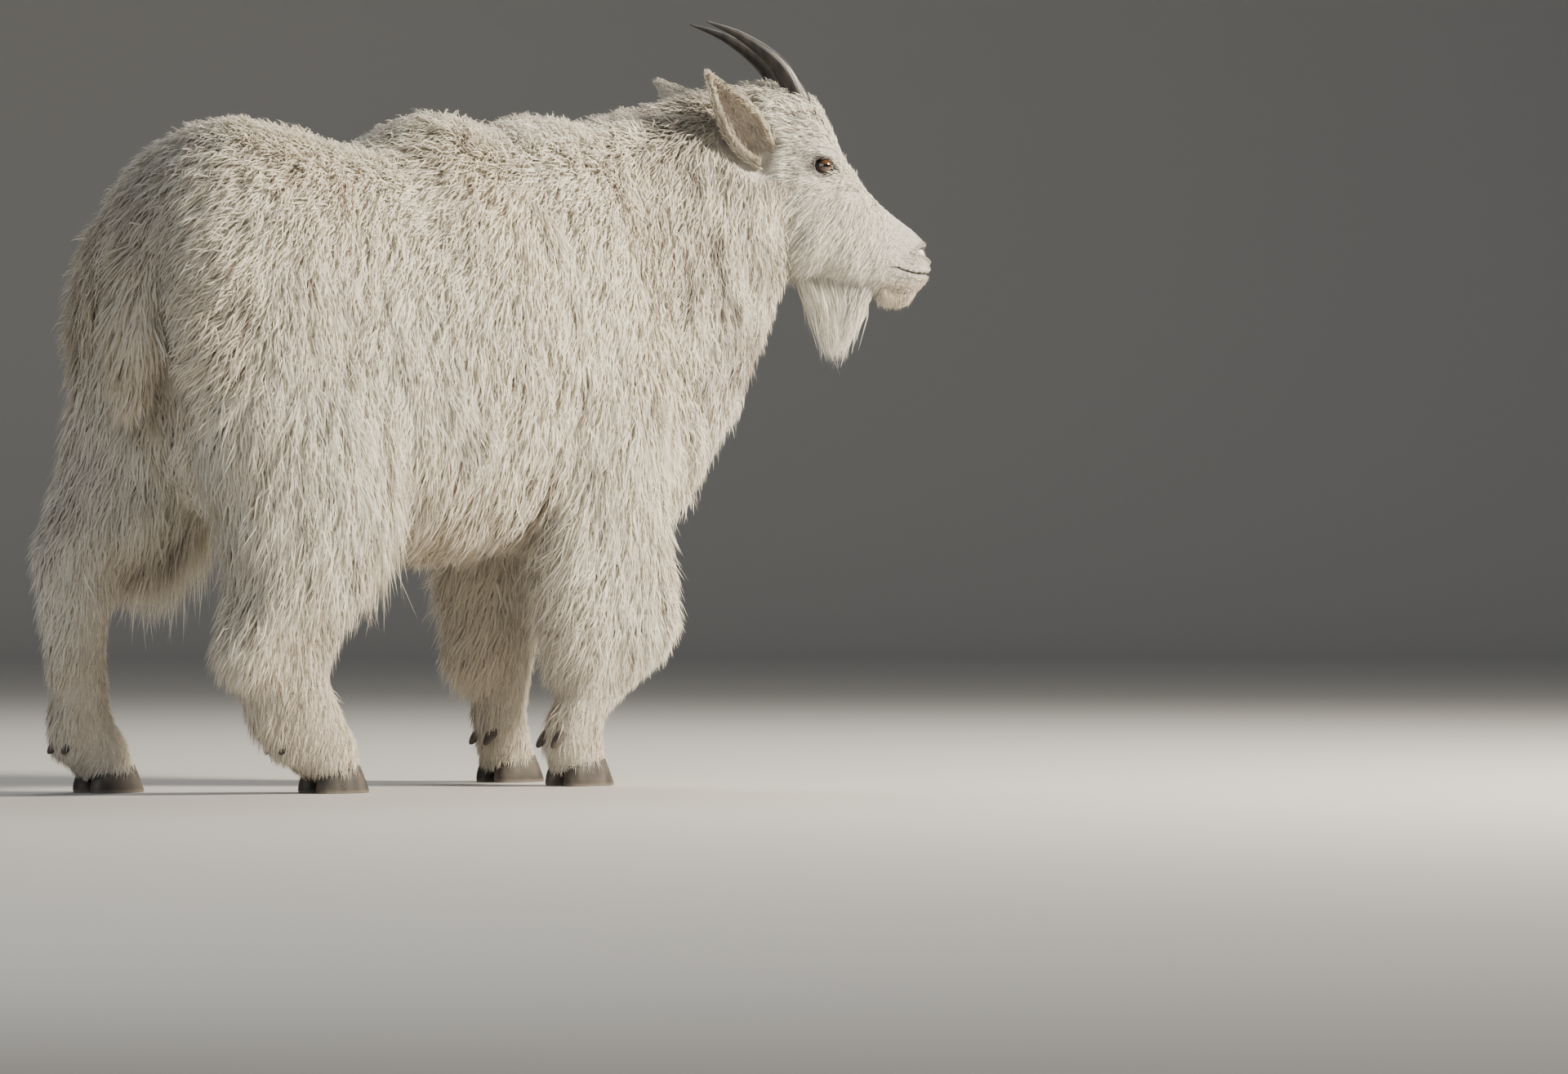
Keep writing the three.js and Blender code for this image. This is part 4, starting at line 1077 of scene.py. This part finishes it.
def leg_weight(points, place, angle):
    return 1 + 1.6 * smooth_step(300 - points[..., 2], 0, 160)


def head_weight(points, place, angle):
    under = (np.cos(angle) < -0.6) & (points[..., 0] > 700) & (points[..., 0] < 900)
    return 1 + 1.5 * under + 1.2 * (points[..., 0] > 800)


grow("trunk", trunk_law, LONG_TUFT, 118000, 2.2, (0.6, 14.5), clump=0.24, curl=0.06)
grow("neck", neck_law, LONG_TUFT, 48000, 2.2, (0.5, 7.0), clump=0.24, curl=0.06)
grow("head", head_law, SHORT_TUFT, 78000, 2.1, (0.25, 12.7), clump=0.42, curl=0.04, weight=head_weight)
for leg in LEGS:
    law = fore_law if leg.startswith("fore") else hind_law
    places = (0.8, len(LEGS[leg]) - 1.03)
    grow(leg, law, SHORT_TUFT, 28000, 2.2, places, clump=0.24, curl=0.05, weight=leg_weight)
grow("tail", tail_law, LONG_TUFT, 9000, 2.8, (0.2, 3.98), clump=0.2, curl=0.04)


def ear_coat(name, side, count):
    """Short hair on the back and rim of an ear, and longer hair that leans into its cup."""
    t = rng.uniform(0.02, 0.97, count)
    bend = rng.uniform(-1, 1, count)
    inner = (rng.uniform(size=count) < 0.42).astype(float)
    to_rim = (inner > 0) & (rng.uniform(size=count) < 0.6)
    bend = np.where(to_rim, np.sign(bend) * (1 - 0.3 * bend * bend), bend)
    e = 0.01
    root = ear_point(t, bend, inner)
    du = ear_point(t + e, bend, inner) - ear_point(t - e, bend, inner)
    dv = ear_point(t, bend + e, inner) - ear_point(t, bend - e, inner)
    normal = unit(np.cross(dv, du))
    along, out, across = ear_axes()
    normal *= np.sign(np.sum(normal * out, -1) * (inner * 2 - 1) + 1e-9)[:, None]
    rim = smooth_step(np.abs(bend), 0.72, 1.0)
    way = np.broadcast_to(along, root.shape) + 0.5 * (rim * inner)[:, None] * out
    way = way - 0.25 * inner[:, None] * across
    long = 10 + 12 * inner * (1 - t) + 8 * rim
    lift = 0.25 + 0.45 * inner * rim
    tint = mix(coat_colour(root, "neck"), WARM, 0.15 * inner)
    # Painted shade: hair deep in the lower part of the cup is darkened.
    tint = mix(tint, DUSK, 0.5 * inner * (1 - rim) * smooth_step(0.5 - t, 0, 0.3))
    flip = np.array([1, side, 1])
    root, normal, way = root * flip, normal * flip, way * flip
    unwrap = np.stack([0.5 * t + 0.5 * inner, 0.5 + 0.49 * bend], -1)
    add_coat(name, SHORT_TUFT, turn(root), turn_way(root, normal), turn_way(root, way),
             long * rng.uniform(0.7, 1.2, count), lift, np.zeros(count), np.full(count, 1.9),
             np.full(count, 0.3), np.full(count, 0.03), tint, np.clip(unwrap, 0, 1))


for which, side in SIDES.items():
    ear_coat(f"ear_{which}", side, 8000)

for part in parts:
    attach(part, BODY)

# The stage: a pale floor that sweeps up behind the goat, soft light from its front right and a weak fill.
AZIMUTH = math.radians(-40)
AIM = np.array([0.0, 0.0, 0.38]) + SHIFT * 0.001
BACK = np.array([math.sin(AZIMUTH), -math.cos(AZIMUTH), 0.0])
RIGHT = np.array([math.cos(AZIMUTH), math.sin(AZIMUTH), 0.0])
UP = np.array([0.0, 0.0, 1.0])


def sweep():
    near, far, bend, high, half_width = 16.0, -13.0, 3.0, 12.0, 20
    reach = [(near, 0.0), (far, 0.0)]
    for a in np.linspace(0.1, math.pi / 2, 14):
        reach.append((far - bend * math.sin(a), bend - bend * math.cos(a)))
    reach.append((far - bend, high))
    line = np.array([AIM * [1, 1, 0] + BACK * back + UP * up for back, up in reach])
    points = np.stack([line - RIGHT * half_width, line + RIGHT * half_width], 1)
    mesh = bpy.data.meshes.new("sweep")
    mesh.from_pydata(points.reshape(-1, 3).tolist(), [], grid_faces(len(reach), 2, closed=False).tolist())
    mesh.polygons.foreach_set("use_smooth", np.ones(len(mesh.polygons), bool))
    obj = bpy.data.objects.new("sweep", mesh)
    bpy.context.scene.collection.objects.link(obj)
    obj.data.materials.append(material("floor", 0.9, tint=False, colour=(0.50, 0.49, 0.47)))


def lamp(name, place, aim, size, power, colour):
    data = bpy.data.lights.new(name, "AREA")
    data.shape = "RECTANGLE"
    data.size, data.size_y = size
    data.energy = power
    data.color = colour
    obj = bpy.data.objects.new(name, data)
    obj.location = place
    obj.rotation_euler = (Vector(aim) - Vector(place)).to_track_quat("-Z", "Y").to_euler()
    bpy.context.scene.collection.objects.link(obj)


sweep()
CHEST = AIM + UP * 0.3
lamp("key", CHEST + RIGHT * 4.6 + BACK * 0.6 + UP * 2.1, CHEST, (1.0, 1.0), 760, (1.0, 0.90, 0.74))
lamp("fill", CHEST - RIGHT * 2 + BACK * 5 + UP * 1.8, CHEST, (4, 3), 75, (0.86, 0.92, 1.0))
lamp("rim", CHEST + RIGHT * 1.0 - BACK * 3.2 + UP * 3.2, CHEST, (3, 1.5), 130, (1.0, 0.96, 0.9))
world = bpy.data.worlds.new("studio")
world.use_nodes = True
world.node_tree.nodes["Background"].inputs["Color"].default_value = (0.80, 0.84, 0.90, 1)
world.node_tree.nodes["Background"].inputs["Strength"].default_value = 0.2
bpy.context.scene.world = world

# The camera stands at the height of the belly, a little behind the goat's right side.
DISTANCE = 12.0
camera = bpy.data.cameras.new("camera")
camera.sensor_width = 36.0
camera.lens = 806 * DISTANCE * 36.0 / 1920
camera.clip_end = 100
eye_point = bpy.data.objects.new("camera", camera)
eye_point.location = AIM + BACK * DISTANCE
PAN = math.atan((960 - 500) / (806 * DISTANCE))
eye_point.rotation_euler = (math.radians(90), 0, AZIMUTH - PAN)
bpy.context.scene.collection.objects.link(eye_point)
bpy.context.scene.camera = eye_point
